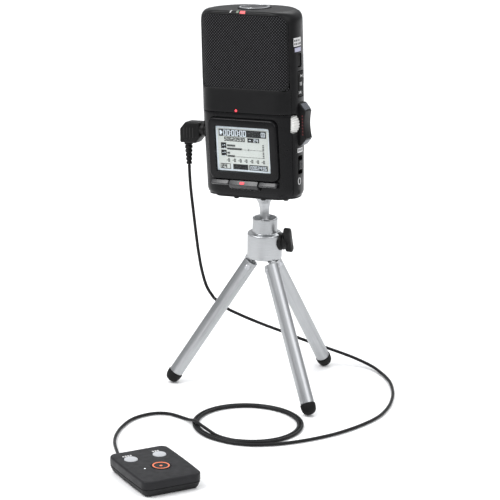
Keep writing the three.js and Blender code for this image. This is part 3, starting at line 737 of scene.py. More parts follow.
def skin(s, z, depth=0.0):
    """A point on the case, or below its surface, s round the plan and z up."""
    x, y, out_x, out_y = plan(s)
    low = min(1, max(0, (TAPER_TOP - z) / TAPER_TOP))
    foot = quarter(-z, -4, 4) if z < 4 else 0
    side_top, front_top, back_top = TOP_RADII
    half_width = HALF_WIDTH - low - foot * 0.8 - quarter(z, CASE_TOP - side_top, side_top)
    front = FRONT - TAPER_DEPTH * low - foot * 0.35 - quarter(z, CASE_TOP - front_top, front_top)
    rear = BACK - 2 * low - foot * 0.7 - quarter(z, CASE_TOP - back_top, back_top)
    x = (x - depth * out_x) * half_width / HALF_WIDTH
    y -= depth * out_y
    ahead = (front + WIDEST_Y) / (FRONT + WIDEST_Y)
    behind = (rear - WIDEST_Y) / (BACK - WIDEST_Y)
    y = WIDEST_Y + (y - WIDEST_Y) * (ahead if y < WIDEST_Y else behind)
    return (x, y, z)


def levels(low, high, step=2.0):
    """Heights closer together where the top and bottom edges curve."""
    values = {low, high}
    count = ceil((high - low) / step)
    values.update(low + (high - low) * i / count for i in range(count))
    for i in range(1, 9):
        turn = pi / 2 * i / 8
        curved = [4 - 4 * sin(turn)] + [CASE_TOP - radius + radius * sin(turn) for radius in TOP_RADII]
        values.update(z for z in curved if low < z < high)
    return sorted(values)


def edged(a, b, edge, count):
    """Values from a to b, closer together along the rounded edges."""
    near = [a + edge * (1 - cos(pi / 2 * k / 3)) for k in range(3)]
    far = [b - edge * (1 - cos(pi / 2 * k / 3)) for k in range(3)]
    return near + [a + edge + (b - a - 2 * edge) * i / count for i in range(count + 1)] + far[::-1]


def patch(name, surface, across, upwards, depth, thick, edge, counts):
    """A curved plate with rounded edges on surface(a, b, depth), between two pairs of limits."""
    columns = edged(*across, edge, counts[0])
    rows = edged(*upwards, edge, counts[1])

    def roll(value, limits):
        near = min(value - limits[0], limits[1] - value)
        return edge - sqrt(max(0, edge ** 2 - max(0, edge - near) ** 2))

    vertices = [
        surface(a, b, depth + max(roll(a, across), roll(b, upwards))) for b in rows for a in columns
    ]
    vertices += [surface(a, b, depth + thick) for b in rows for a in columns]
    wide, tall = len(columns), len(rows)
    half = wide * tall
    faces = []
    for r in range(tall - 1):
        for c in range(wide - 1):
            a = r * wide + c
            faces.append((a, a + 1, a + wide + 1, a + wide))
            faces.append((half + a, half + a + wide, half + a + wide + 1, half + a + 1))
    rim = list(range(wide)) + [r * wide + wide - 1 for r in range(1, tall)]
    rim += [(tall - 1) * wide + c for c in range(wide - 2, -1, -1)]
    rim += [r * wide for r in range(tall - 2, 0, -1)]
    faces += [(a, half + a, half + b, b) for a, b in zip(rim, rim[1:] + rim[:1])]
    return made(name, vertices, faces)


def band(name, start, end, low, high, edge=0.35):
    """A panel of the case, from s start to end and z low to high."""
    counts = (max(2, ceil((end - start) / 1.3)), max(2, ceil((high - low) / 1.6)))
    return patch(name, skin, (start, end), (low, high), 0.0, WALL, edge, counts)


def shell(inset_by, low, high):
    """The whole case as a closed solid, or the hollow inside it."""
    count = 132
    rows = levels(low, high)
    loops = [[skin(HALF_ROUND * (2 * i / count - 1), z, inset_by) for i in range(count)] for z in rows]
    rim = loops[-1]
    for share in (0.94, 0.86, 0.76, 0.64, 0.5, 0.36, 0.22, 0.1, 0.02):  # the top, closing inwards
        loops.append([(x * share, y * share, high) for x, y, _ in rim])
    return made("case", *skinned(loops))


def rod(radius, axis, low, high, centre, sides=40, place=RECORDER):
    return turned("rod", [(0, low), (radius, low), (radius, high), (0, high)], place, axis, centre, sides)


def grille_outline(grow):
    half = GRILLE_HALF_WIDTH + grow
    return arc_corners([
        (-half, BELT[1] - grow, 2), (half, BELT[1] - grow, 2), (half, GRILLE_TOP + grow, 6),
        (-half, GRILLE_TOP + grow, 6),
    ])


def window(y0, y1, z0, z1, side, gap=GAP):
    outline = rounded(y0 - gap, y1 + gap, z0 - gap, z1 + gap, 1)
    ends = (24, 40) if side > 0 else (-40, -24)
    return slab("window", outline, *ends, "x", edge=0)


PLAY_ROCKER = (-6, 2, 60, 74.5)
MENU_BUTTON = (-6, -0.8, 77.4, 85)
POWER_SLOT = (-6.6, -1, 14.5, 25)
VOLUME_ROCKER = (-6, 1.4, 70, 83)
CARD_COVER = (-7, 1, 8, 22)
GROOVE_BEFORE_SIDE = 6.1  # from the seam groove on to the flat of the side
ROCKER_GAP = 0.5  # room for a rocker to tip in its window


def wheel_opening():
    """Room for the wheel through the case's front corner."""
    outline = rounded(WHEEL.y - 2.6, WHEEL.y + 3.6, WHEEL.z - 5.4, WHEEL.z + 5.4, 1.5)
    return slab("room", outline, 22, 40, "x", edge=0)


def body_frame():
    body = cut(shell(0, BELT[0], CASE_TOP), shell(WALL, BELT[0] - 5, CASE_TOP - WALL))
    lower = cut(shell(0, 0, BELT[0] + GAP), shell(WALL, WALL, BELT[0] + 5))
    cut(lower, block(-40, 40, -40, FRONT_SEAM, -5, 90), block(-40, 40, BACK_SEAM, 40, -5, 90))
    cutters = [
        slab("zone", grille_outline(GAP), -40, FRONT_SEAM, "y", edge=0),
        slab("zone", grille_outline(GAP), BACK_SEAM, 40, "y", edge=0),
        rod(2.7, "z", 100, 120, (0, 0)),
        rod(10, "z", 109.2, 120, (0, 0), 96),
    ]
    shared = [window(*PLAY_ROCKER, 1, ROCKER_GAP), window(*MENU_BUTTON, 1)]
    shared.append(window(*VOLUME_ROCKER, -1, ROCKER_GAP))
    shared += [rod(3.4, "x", -40, -24, (PLUG_Y, z)) for z in (50, 60.5)]
    shared += [rod(1.9, "y", 8, 30, (x, 57.3), 24) for x in (-20, 20)]
    cut(body, *cutters, *shared, *(seam_groove(side, BELT[0] - 1, BELT[1]) for side in (-1, 1)))
    low_cutters = [window(*POWER_SLOT, 1), window(*CARD_COVER, -1), wheel_opening()]
    low_cutters += [rod(3.4, "x", -40, -24, (PLUG_Y, z)) for z in (36.5, 50)]
    low_cutters += [rod(5.3, "z", -5, 6, (0, BUSH_Y))]
    cut(lower, *low_cutters)
    finish(joined("body_frame_shell", [body, lower]), "recorder", "case_black", CASE_BLACK, "body_frame")


def lip(name, points, radius, depth):
    """A thin raised bead that follows (s, z) points round the case."""
    path = [skin(p.x, p.y, depth) for p in points]
    obj = tube(name, path, radius, sides=10, closed=True)
    return finish(obj, "recorder", "case_black", CASE_BLACK)


def weave_height(s, z):
    """Height from 0 to 1 of plain wire cloth laid diagonally."""
    a = (s + z) / WEAVE_PITCH
    b = (s - z) / WEAVE_PITCH
    best = 0.0
    for across, along in ((a, b), (b, a)):
        wire = round(across)
        off = abs(across - wire) / 0.4
        if off < 1:
            phase = wire if across is a else wire + 1
            crest = 0.5 + 0.22 * cos(pi * (along + phase))
            best = max(best, crest + 0.28 * sqrt(1 - off * off))
    return best


def grille(name, node, centre, half_span):
    """Wire cloth over one face of the case."""
    step = 0.31
    columns = ceil(2 * half_span / step)
    rows = ceil((GRILLE_TOP - BELT[1]) / step)
    vertices, heights, faces, index = [], [], [], {}
    for r in range(rows + 1):
        z = BELT[1] + (GRILLE_TOP - BELT[1]) * r / rows
        for c in range(columns + 1):
            s = centre - half_span + 2 * half_span * c / columns
            past_top = z - GRILLE_TOP + GRILLE_CORNER
            past_side = abs(s - centre) - half_span + GRILLE_CORNER
            if past_top > 0 and past_side > 0 and hypot(past_top, past_side) > GRILLE_CORNER:
                continue
            height = weave_height(s, z)
            index[r, c] = len(vertices)
            vertices.append(skin(s, z, 0.95 - 0.75 * height))
            heights.append(height)
    for r in range(rows):
        for c in range(columns):
            ring = [(r, c), (r, c + 1), (r + 1, c + 1), (r + 1, c)]
            if all(key in index for key in ring):
                faces.append(tuple(index[key] for key in ring))
    obj = made(name, vertices, faces, RECORDER, smooth=80)
    data = obj.data
    attribute = data.attributes.new("weave", "FLOAT", "POINT")
    attribute.data.foreach_set("value", heights)
    finish(obj, "recorder", "black_mesh", WEAVE_PAINTED_HIGHLIGHT_AND_SHADE, node)


def grilles():
    front_reach = FLAT_FRONT + FRONT_RADIUS * 0.897
    back_reach = 33.0
    grille("grille_front", "front_grille", 0, front_reach)
    grille("grille_rear", "rear_grille", HALF_ROUND, back_reach)
    for name, centre, reach in (("front", 0, front_reach), ("rear", HALF_ROUND, back_reach)):
        path = divided(rounded(-reach, reach, BELT[1], GRILLE_TOP, GRILLE_CORNER, 8), 1.5)
        lip(f"grille_rim_{name}", [p + Vector((centre, 0)) for p in path], 0.4, 0.22)


def seam_groove(side, low, high):
    """A shallow groove down the case's rounded front corner."""
    s = side * (FLAT_FRONT + CORNER_ARC - GROOVE_BEFORE_SIDE)
    return tube("groove", [skin(s, z, -0.05) for z in levels(low, high)], 0.32, sides=8)


def cover_room():
    half, front, top = COVER
    return block(-half - GAP, half + GAP, front - GAP, 40, -5, top + GAP)


def shells():
    front = band("front_panel", -34.4, 34.4, 0.0, BELT[0] - GAP)
    cut(front, *(seam_groove(side, -1, BELT[0] + 1) for side in (-1, 1)))
    screen_wide, screen_tall = (size / 2 + GAP for size in BEZEL)
    screen = rounded(-screen_wide, screen_wide, -screen_tall, screen_tall, 4)
    screen_room = slab("room", screen, -9, 9, "y", FACE, edge=0)
    key_room = slab("room", rounded(-9.8, 9.8, -24.5, -18.9, 1.6), -9, 9, "y", FACE, edge=0)
    cut(front, screen_room, key_room, wheel_opening())
    finish(front, "recorder", "gloss_black", GLOSS_BLACK, "front_shell")
    start = 50.4
    end = 2 * HALF_ROUND - start
    rear = band("rear_panel", start, end, 0.0, BELT[0] - GAP)
    cut(rear, cover_room())
    finish(rear, "recorder", "case_black", CASE_BLACK, "rear_shell")
    reach = 20.2
    half, front_limit, top = COVER
    cover = band("battery_door", HALF_ROUND - reach, HALF_ROUND + reach, 0.0, top, edge=0.5)
    outside = [block(half, 60, -60, 60, -5, 90), block(-60, -half, -60, 60, -5, 90)]
    outside.append(block(-60, 60, -60, front_limit, -5, 90))
    cut(cover, *outside)
    grips = []
    for i in range(5):
        z = 38 - 1.8 * i
        path = [skin(HALF_ROUND + s, z, -0.02) for s in range(-7, 8)]
        grips.append(tube("grip", path, 0.4, sides=8))
    door = joined("battery_door", [cover, *grips])
    finish(door, "battery_cover_body", "case_black", CASE_BLACK, "battery_cover")


def base_plate():
    """The case's floor, the foot pad with its six nubs, and the tripod socket."""
    floor = slab("case_floor", inset_plan(0.3, 1.2), 0.05, 1.7, "z", edge=0.2)
    hole = rod(5.3, "z", -5, 6, (0, BUSH_Y))
    finish(cut(floor, hole, cover_room()), "recorder", "case_black", CASE_BLACK)
    pad = slab("foot_pad", rounded(-24, 24, -12.8, 13.5, 6), -0.7, -GAP + 0.2, "z", edge=0.15)
    cut(pad, rod(8, "z", -3, 1, (0, BUSH_Y)))
    nubs = []
    for side in (-1, 1):
        for x, y in ((22, -7), (9, -10.8), (17, 11)):
            profile = softened([(0, -1.7), (1.3, -1.7), (1.8, -0.6), (0, -0.6)], 0.4)
            nubs.append(turned("nub", profile, centre=(side * x, y), sides=24))
    finish(joined("foot_pad", [pad, *nubs]), "recorder", "black_rubber", RUBBER, "base_pad")


def inset_plan(depth, z):
    count = 120
    points = [skin(HALF_ROUND * (2 * i / count - 1), z, depth) for i in range(count)]
    return [Vector(p[:2]) for p in points]


body_frame()
grilles()
shells()
base_plate()

# ---- screen ----


def bezel():
    wide, tall = BEZEL
    inner_wide, inner_tall = WINDOW
    outer = rounded(-wide / 2, wide / 2, -tall / 2, tall / 2, 4.2, 10)
    frame_block = slab("bezel", outer, -2.6, 2.5, "y", FACE, edge=0.3, low_edge=1.0)
    inside = rounded(-inner_wide / 2, inner_wide / 2, -inner_tall / 2, inner_tall / 2, 0.8)
    cut(frame_block, slab("hole", inside, -9, 9, "y", FACE, edge=0))
    finish(frame_block, "recorder", "gloss_black", GLOSS_BLACK, "lcd_bezel")
    right, up = inner_wide / 2 - 0.2, inner_tall / 2 - 0.2
    pane = rounded(-right, right, -up, up, 0.8)
    cover = slab("lcd_cover", pane, -2.1, -1.3, "y", FACE, edge=0.1)
    finish(cover, "recorder", "screen_lens", CLEAR, "lcd_lens")
    panel = slab("lcd_sheet", pane, -0.9, 1.8, "y", FACE, edge=0.1)
    finish(panel, "recorder", "screen", PANEL, "lcd_panel")


INK_DEPTH = (-0.98, -0.88)
LIGHT_DEPTH = (-1.04, -0.96)
SEGMENTS = {
    "a": (0, 1, 1, 1), "b": (1, 0.5, 1, 1), "c": (1, 0, 1, 0.5), "d": (0, 0, 1, 0),
    "e": (0, 0, 0, 0.5), "f": (0, 0.5, 0, 1), "g": (0, 0.5, 1, 0.5),
}
DIGITS = {
    0: "abcdef", 1: "bc", 2: "abged", 3: "abgcd", 4: "fgbc", 5: "afgcd", 6: "afgedc", 7: "abc", 8: "abcdefg",
    9: "abcdfg",
}


def plate(u0, u1, v0, v1, depth):
    low, high = depth
    loops = [[(u, h, v) for u, v in ((u0, v0), (u1, v0), (u1, v1), (u0, v1))] for h in (low, high)]
    return made("plate", *skinned(loops), FACE)


def digit(number, u, v, wide, tall, depth, bold=0.3):
    parts = []
    for key in DIGITS[number]:
        x0, z0, x1, z1 = SEGMENTS[key]
        parts.append(plate(
            u + x0 * wide - bold / 2, u + x1 * wide + bold / 2,
            v + z0 * tall - bold / 2, v + z1 * tall + bold / 2, depth,
        ))
    return parts


def outlined(u0, u1, v0, v1, depth, line=0.22):
    return [
        plate(u0, u1, v0, v0 + line, depth), plate(u0, u1, v1 - line, v1, depth),
        plate(u0, u0 + line, v0, v1, depth), plate(u1 - line, u1, v0, v1, depth),
    ]


def display():
    """Generic recording read-outs: a time bar, channel meters with a scale, and a counter."""
    dark = [plate(-16, 15.6, 7.4, 11.6, INK_DEPTH)]
    dark += [plate(-7.4, 2.6, -12.2, -9.0, INK_DEPTH), plate(3.4, 15.6, -12.2, -9.0, INK_DEPTH)]
    light = []
    for i in range(3):
        for k in range(2):
            light += digit(0, -12.7 + 5.4 * i + 2.4 * k, 7.95, 1.45, 3.1, LIGHT_DEPTH, 0.55)
        if i < 2:
            at = -8.35 + 5.4 * i
            light += [plate(at, at + 0.5, v, v + 0.5, LIGHT_DEPTH) for v in (8.7, 9.9)]
    light += [plate(-15.4, -14.2, 8.2, 10.9, LIGHT_DEPTH), plate(-14.2, -13.6, 9, 10.2, LIGHT_DEPTH)]
    light += outlined(12.2, 14.9, 8.2, 10.8, LIGHT_DEPTH, 0.3)
    for i in range(7):
        light.append(plate(12.8, 14.3, 8.7 + 0.26 * i, 8.8 + 0.26 * i, LIGHT_DEPTH))
    for i, number in enumerate((5, 0, 6, 2, 0, 9, 3, 0)):  # the mode line
        dark += digit(number, -12.3 + 1.75 * i, 4.75, 1.0, 2.0, INK_DEPTH, 0.45)
    dark.append(plate(3, 10.8, 4.4, 7.0, INK_DEPTH))
    for i, number in enumerate((2, 4)):
        light += digit(number, 7.2 + 1.7 * i, 4.9, 1.0, 1.6, LIGHT_DEPTH, 0.3)
    light.append(plate(4.0, 5.4, 5.5, 5.9, LIGHT_DEPTH))
    for top, bars in ((3.5, (6, 10)), (-0.9, (2.4, 5))):
        dark.append(plate(-15, -11.4, top - 3.5, top, INK_DEPTH))
        for k, reach in enumerate(bars):
            v = top - 1.1 - 1.9 * k
            dark += [
                plate(-10.9 + 0.62 * i, -10.42 + 0.62 * i, v - 1.05, v + 0.1, INK_DEPTH)
                for i in range(int(reach / 0.62))
            ]
            light.append(plate(-14.3, -13.3, v - 0.7, v - 0.45, LIGHT_DEPTH))
            light.append(plate(-12.8, -12.1, v - 0.6, v - 0.1, LIGHT_DEPTH))
        for i in range(24):
            dark.append(plate(-10.8 + i, -10.2 + i, top - 3.8, top - 3.55, INK_DEPTH))
        dark += [plate(12.8, 13.8, top - 0.7 - i, top - 0.1 - i, INK_DEPTH) for i in range(4)]
    dark.append(plate(3.4, 3.8, -0.7, 0.5, INK_DEPTH))
    for i in range(7):
        u = -10.6 + 3.9 * i
        dark += outlined(u, u + 1.1, -7.9, -5.9, INK_DEPTH, 0.36)
        dark.append(plate(u - 1, u - 0.35, -7.1, -6.75, INK_DEPTH))
    dark += outlined(-15.8, -9.2, -12.2, -9.0, INK_DEPTH, 0.3)
    for i, number in enumerate((2, 4)):
        dark += digit(number, -14.8 + 1.9 * i, -11.5, 1.0, 1.8, INK_DEPTH, 0.5)
    light.append(plate(-8.4, -7.9, -12.2, -9.0, LIGHT_DEPTH))
    for i, number in enumerate((0, 0, 0, 2, 4, 3, 6)):
        light += digit(number, 4.3 + 1.6 * i, -11.6, 0.9, 1.9, LIGHT_DEPTH, 0.3)
    light += outlined(-17.9, 17.9, -13.2, 13.2, LIGHT_DEPTH, 1.0)
    finish(joined("screen_marks", dark), "recorder", "screen", INK)
    finish(joined("screen_lights", light), "recorder", "screen", PALE_INK)


bezel()
display()

# ---- keys, dial, wheel and labels ----


def chin_outline(foot, grow=0.0):
    """The ledge under the screen, in section: an upward facet, a downward one and a tucked-in foot."""
    ridge = -20.4 - 0.2 * foot
    return arc_corners([
        (0.3, -18.7 + grow, 0), (-2.4 - grow, -18.7 + grow, 0.2), (-4 - grow, ridge, 0.4),
        (-3 - grow, ridge - 0.5 - 0.55 * foot, 0.4), (-0.4, ridge - 0.8 - foot - grow, 0.3),
        (0.3, ridge - 0.8 - foot - grow, 0),
    ])


def rec_key():
    # The ledge and the record key take the lighter grey of a painted highlight.
    for name, low, high in (("chin_left", -21.8, -9.8), ("chin_right", 9.8, 21.8)):
        side = slab(name, chin_outline(0.8), low, high, "x", FACE, edge=0.9)
        finish(side, "recorder", "gloss_black", PAINTED_HIGHLIGHT_BLACK)
    key = slab("record_key", chin_outline(2.6, 0.15), -9.5, 9.5, "x", FACE, edge=0.3)
    finish(key, "rec_button_body", "gloss_black", PAINTED_HIGHLIGHT_BLACK, "rec_button")
    slope = Matrix.Translation(Vector((-0.8, -3.5, -19.75)) * MM) @ Matrix.Rotation(radians(-39.6), 4, "X")
    lamp = slab("record_mark", rounded(-1.5, 1.5, -0.75, 0.75, 0.6), -0.24, 0.1, "y", FACE @ slope, edge=0.1)
    finish(lamp, "rec_button_body", "orange_key", RED_LAMP)
    place = RECORDER @ Matrix.Translation(Vector((-4.6, -FRONT, 51.5)) * MM)
    profile = softened([(0, -0.3), (0.75, -0.3), (0.75, 0.6), (0, 0.6)], 0.25)
    led = turned("level_lamp", profile, place, "y", sides=24)
    finish(led, "recorder", "orange_key", RED_LAMP)


def mode_dial():
    low, high = DIAL_SPAN
    profile = [
        (0, 103), (2.4, 103), (2.4, low), (9.2, low), (9.5, low + 0.3), (9.5, high - 0.4), (8.9, high),
    ]
    profile += [(7.6, high), (7.3, high - 0.3), (0, high - 0.35)]
    core = turned("dial", softened(profile, 0.15), sides=96)
    teeth = []
    for i in range(60):
        turn = 2 * pi * i / 60
        x, y = 9.38 * cos(turn), 9.38 * sin(turn)
        teeth.append(tube("tooth", [(x, y, low + 0.2), (x, y, high - 0.4)], 0.14, sides=6))
    finish(joined("mode_wheel", [core, *teeth]), "mode_dial_body", "dark_metal", DARK_METAL, "mode_dial")
    section = [(7.9, high - 0.1), (9.1, high - 0.25), (8.9, high + 0.08), (8, high + 0.1), (7.9, high - 0.1)]
    ring = turned("dial_ring", section, sides=96)
    finish(ring, "mode_dial_body", "aluminium", TURNED_ALUMINIUM)
    mark = slab("dial_mark", rounded(-0.35, 0.35, -7, -3.6, 0.3), high - 0.4, high - 0.2, "z", edge=0.05)
    finish(mark, "mode_dial_body", "white_plastic", WHITE_PRINT)


def gain_wheel():
    """A ridged wheel whose rim follows the case's rounded corner."""
    ribs = 26
    count = ribs * 10
    rings = []
    for step in range(21):
        y = WHEEL.y - 2.2 + 5.2 * step / 20
        corner = FLAT_FRONT + sqrt(FRONT_RADIUS ** 2 - (y - FRONT_RADIUS + FRONT) ** 2)
        ends = min(step, 20 - step)
        radius = corner + 1 - WHEEL.x - (0.5, 0.15, 0)[min(2, ends)]
        ring = []
        for i in range(count):
            turn = 2 * pi * i / count
            groove = 0.45 * (0.5 - 0.5 * cos(ribs * turn)) ** 2
            reach = radius - groove
            ring.append((WHEEL.x + reach * cos(turn), y, WHEEL.z + reach * sin(turn)))
        rings.append(ring)
    wheel = made("level_wheel", *skinned(rings))
    finish(wheel, "gain_wheel_body", "white_plastic", WHITE_PLASTIC, "gain_wheel")
    room = rounded(-14.2, -5.9, WHEEL.z - 8.6, WHEEL.z + 8.6, 1)
    wall = slab("wheel_pocket", room, 15.9, 16.7, "x", edge=0.1)
    finish(wall, "recorder", "black_rubber", RUBBER)


def guard():
    """The waisted lug that keeps the wheel from being knocked, with its end facets painted paler as a
    highlight.
    """
    inner = WHEEL.y + 3.9
    outline = [Vector((28.6, 31)), Vector((31.6, 31)), Vector((35.0, 35.0))]
    for i in range(13):
        t = i / 12
        outline.append(Vector((35.3 - 3.8 * t * (1 - t), 35.4 + 16 * t)))
    outline += [Vector((35.0, 51.8)), Vector((31.6, 56.2)), Vector((28.6, 56.2))]
    lug = slab("wheel_guard", outline, inner, 2.4, "y", edge=0.45)
    finish(lug, "recorder", "case_black", CASE_BLACK, "gain_guard")
    ends = (("guard_top", (32.1, 55.75), (34.9, 52.3)), ("guard_foot", (32.2, 31.45), (34.8, 34.6)))
    for name, low, high in ends:
        a, b = Vector(low), Vector(high)
        across = Vector((b.y - a.y, a.x - b.x)).normalized() * 0.12
        if across.x < 0:
            across = -across
        outline = [a - across, b - across, b + across, a + across]
        facet = slab(name, outline, inner + 0.5, 1.9, "y", edge=0.05)
        # The end facets take a pale blue-grey, a painted highlight.
        finish(facet, "recorder", "case_black", GUARD_FACET_PAINTED_HIGHLIGHT)
    marks = []
    for i in range(7):
        z = 37.4 + 1.8 * i
        marks.append(slab("mark", rounded(32.8, 33.7, z, z + 1.0, 0.2), inner - 0.06, inner + 0.1, "y",
                          edge=0.02))
    finish(joined("guard_marks", marks), "recorder", "orange_key", RED_PRINT)


def side_key(name, node, body, place, side, proud, material, slot="black_rubber"):
    """A key in a side window, its face following the case's side."""
    y0, y1, z0, z1 = place
    key = patch(name, side_surface(side), (y0, y1), (z0, z1), -proud, 2.6, 0.6, (8, 12))
    return finish(key, body, slot, material, node)


def side_reach(z):
    return skin(FLAT_FRONT + CORNER_ARC, z)[0]


def side_surface(side):
    return lambda y, z, depth: on_side(y, z, depth, side)


def sticker(name, y0, y1, z0, z1, proud=0.06, side=1):
    """A thin printed patch laid on the case's side."""
    return patch(name, side_surface(side), (y0, y1), (z0, z1), -proud, 0.25, 0.03, (8, 6))


def on_side(y, z, depth, side=1):
    """The point of the case's side at a depth behind the face and a height."""
    if y < FRONT_RADIUS - FRONT:
        s = FLAT_FRONT + CORNER_ARC - FRONT_RADIUS * asin((FRONT_RADIUS - FRONT - y) / FRONT_RADIUS)
    else:
        bend = asin((y - BACK + BACK_RADIUS) / BACK_RADIUS)
        s = FLAT_FRONT + CORNER_ARC + SIDE_FLAT + BACK_RADIUS * max(0, bend)
    x, y, z = skin(s, z, depth)
    return (side * x, y, z)


def side_controls():
    side_key("play_key", "play_rocker", "play_rocker_body", PLAY_ROCKER, 1, 0.35, RUBBER)
    side_key("menu_key", "menu_button", "menu_button_body", MENU_BUTTON, 1, -0.5, RUBBER)
    side_key("volume_key", "volume_rocker", "volume_rocker_body", VOLUME_ROCKER, -1, 0.5, RUBBER)
    side_key("card_door", "card_cover", "card_cover_body", CARD_COVER, -1, 0.0, RUBBER)
    side_key("power_key", "power_slide", "power_slide_body", (-6.6, -1, 17, 22.4), 1, 0.4, CASE_BLACK,
                      "case_black")
    reach = side_reach(20) + 0.4
    ridges = [
        tube("ridge", [(reach, -6, 17.9 + 0.8 * i), (reach, -1.6, 17.9 + 0.8 * i)], 0.2, sides=8)
        for i in range(6)
    ]
    # The slide's ridges take the same lighter grey, a painted highlight.
    finish(joined("power_ridges", ridges), "power_slide_body", "case_black", PAINTED_HIGHLIGHT_BLACK)
    floor = slab("slot_floor", rounded(-7.1, -0.5, 14, 25.5, 1), 26.9, 27.4, "x", edge=0.05)
    finish(floor, "recorder", "case_black", RUBBER)
    reach = side_reach(67) + 0.36
    signs = []
    for z, direction in ((62.5, -1), (72, 1)):
        tip = [Vector((-3.4, z - 0.9)), Vector((-3.4, z + 0.9)), Vector((-3.4 + 1.4 * direction, z))]
        signs.append(slab("sign", tip, reach - 0.1, reach + 0.05, "x", edge=0.02))
        bar_y = -3.4 + 2.4 * direction
        bar = rounded(bar_y, bar_y + 0.35, z - 0.9, z + 0.9, 0.1)
        signs.append(slab("sign", bar, reach - 0.1, reach + 0.05, "x", edge=0.02))
    for y in (-4.4, -2.9):
        signs.append(slab("sign", rounded(y, y + 0.45, 66.4, 68.4, 0.1), reach - 0.1, reach + 0.05, "x",
                          edge=0.02))
    finish(joined("play_signs", signs), "play_rocker_body", "white_plastic", WHITE_PRINT)


def labels():
    finish(sticker("side_label", -9.4, -1.2, 89.6, 94.6), "recorder", "white_plastic", WHITE_PRINT)
    finish(sticker("key_label", -8.6, -1.4, 86.4, 88.8), "recorder", "white_plastic", LILAC_PRINT)
    finish(sticker("slide_label", -7.6, -0.4, 27.2, 29.8), "recorder", "white_plastic", WHITE_PRINT)
    bars = []
    for row in range(2):
        for i in range(5 - row):
            y = -8.9 + 1.55 * i
            bars.append(sticker("bar", y, y + 0.95, 90.4 + 2.0 * row, 91.6 + 2.0 * row, proud=0.1))
    for i in range(4):
        y = -7.1 + 1.6 * i
        bars.append(sticker("bar", y, y + 0.9, 27.9, 29.2, proud=0.1))
    finish(joined("label_bars", bars), "recorder", "case_black", INK)
    ring = [
        on_side(-5.6 + 1.6 * cos(t), 10.3 + 1.9 * sin(t), -0.02) for t in (2 * pi * i / 32 for i in range(32))
    ]
    finish(tube("ring_sign", ring, 0.24, sides=8, closed=True), "recorder", "white_plastic", WHITE_PRINT)
    bar = sticker("strap_eye", -7.4, -4.2, 2.6, 5.2, proud=0.03)
    finish(bar, "recorder", "black_rubber", RUBBER)
    top_marks = (
        ("top_dot", -8, -7.2, 108.9, WHITE_PRINT), ("top_green", -3.3, -1.6, 108.9, GREEN_PRINT),
        ("top_red", -0.6, 3.3, 108.5, RED_MARK_PAINTED_GLOW),
    )
    for name, s0, s1, low, material in top_marks:
        mark = patch(name, skin, (s0, s1), (low, CASE_TOP - 0.02), -0.05, 0.3, 0.03, (6, 8))
        finish(mark, "recorder", "white_plastic", material)


rec_key()
mode_dial()
gain_wheel()
guard()
side_controls()
labels()

# ---- tripod ----


def hub():
    profile = softened([
        (0, 82.6), (6.2, 82.6), (6.5, 84.2), (9.2, 84.2), (9.6, 82.6), (10, 82.6), (10.4, 83.1),
        (10.4, 97.2),
        (9.9, 97.9), (7.9, 98.2), (7.5, 98.6), (7.5, 106.7), (7.1, 107.1), (6.4, 107.1), (5.2, 104.2),
        (5.2, 103.4), (6.4, 102.1), (6.4, 86), (0, 86),
    ], 0.35)
    cup = turned("hub_cup", profile, TRIPOD, sides=128)
    profile = softened([(0, 8), (5.3, 8), (5.3, 10.9), (4.7, 11.5), (0, 11.5)], 0.4)
    boss = turned("lock_boss", profile, LOCK, "x",
                  sides=64)
    hole = rod(2.3, "x", 5, 14, (0, 0), 24, LOCK)
    cut(boss, hole)
    finish(boss, "tripod", "black_rubber", PLUG_BLACK)
    finish(cup, "tripod", "aluminium", TURNED_ALUMINIUM, "tripod_hub")
    for number in (1, 2, 3):
        joint = joints[f"leg_{number}_fold"]
        side = Vector(joint["axis"]).normalized()
        outward = side.cross(WORLD_UP)
        place = axes(outward, side, WORLD_UP, Vector(joint["pos_m"]))
        eye = slab(f"leg_ear_{number}", rounded(-1.9, 1.9, -2.6, 7, 1.8, 8), -1.2, 1.2, "y", place, edge=0.3)
        finish(eye, "tripod", "aluminium", TURNED_ALUMINIUM)


def legs():
    for number in (1, 2, 3):
        place = leg_place(number)
        top = LEG_LENGTH + 3.5
        bar = turned(f"leg_tube_{number}", [
            (LEG_BORE, 6.8), (LEG_RADIUS - 0.2, 6.8), (LEG_RADIUS, 7.0), (LEG_RADIUS, top - 0.25),
            (LEG_RADIUS - 0.2, top), (LEG_BORE + 0.1, top), (LEG_BORE, top - 0.15), (LEG_BORE, 6.8),
        ], place, sides=72)
        finish(bar, f"leg{number}", "aluminium", DRAWN_ALUMINIUM, f"leg_{number}")
        pin = turned(f"leg_rivet_{number}", softened([
            (0, -4.5), (1.2, -4.5), (1.6, -4.2), (1, -3.9), (1, 3.9), (1.6, 4.2), (1.2, 4.5), (0, 4.5),
        ], 0.1), place, "y", (0, LEG_LENGTH), 32)
        finish(pin, f"leg{number}", "steel", STEEL, f"leg_pin_{number}")
        cap = turned(f"leg_foot_{number}", softened([
            (0, 0.1), (1.6, 0.1), (3.3, 1.0), (4.2, 2.6), (4.5, 4.4), (4.6, 6.4), (4.3, 6.6), (3.3, 6.6),
            (3.3, 10),
            (0, 10),
        ], 0.5), place, sides=72)
        ground = block(-200, 200, -200, 200, -50, 0.02, TRIPOD)
        cut(cap, ground)
        finish(cap, f"leg{number}", "black_rubber", RUBBER, f"foot_cap_{number}")


def ball_head():
    profile = [(0, -BALL)]
    for step in range(1, 20):
        turn = -pi / 2 + step / 20 * radians(152)
        profile.append((BALL * cos(turn), BALL * sin(turn)))
    neck = [
        (2.8, 5.2), (2.9, 11.5), (3.5, 14.5), (4.9, 17.2), (6.3, 19), (6.9, 19.4), (6.9, 20.6),
        (3.1, 20.6), (3.1, 25.5),
    ]
    neck += [(2.6, 26.1), (0, 26.1)]
    profile += softened(neck, 0.6)
    shifted = [(r, h - BALL_BELOW) for r, h in profile]
    stud = turned("ball_and_stud", shifted, centre=(0, BUSH_Y), sides=96)
    finish(stud, "recorder", "aluminium", TURNED_ALUMINIUM, "ball_stud")


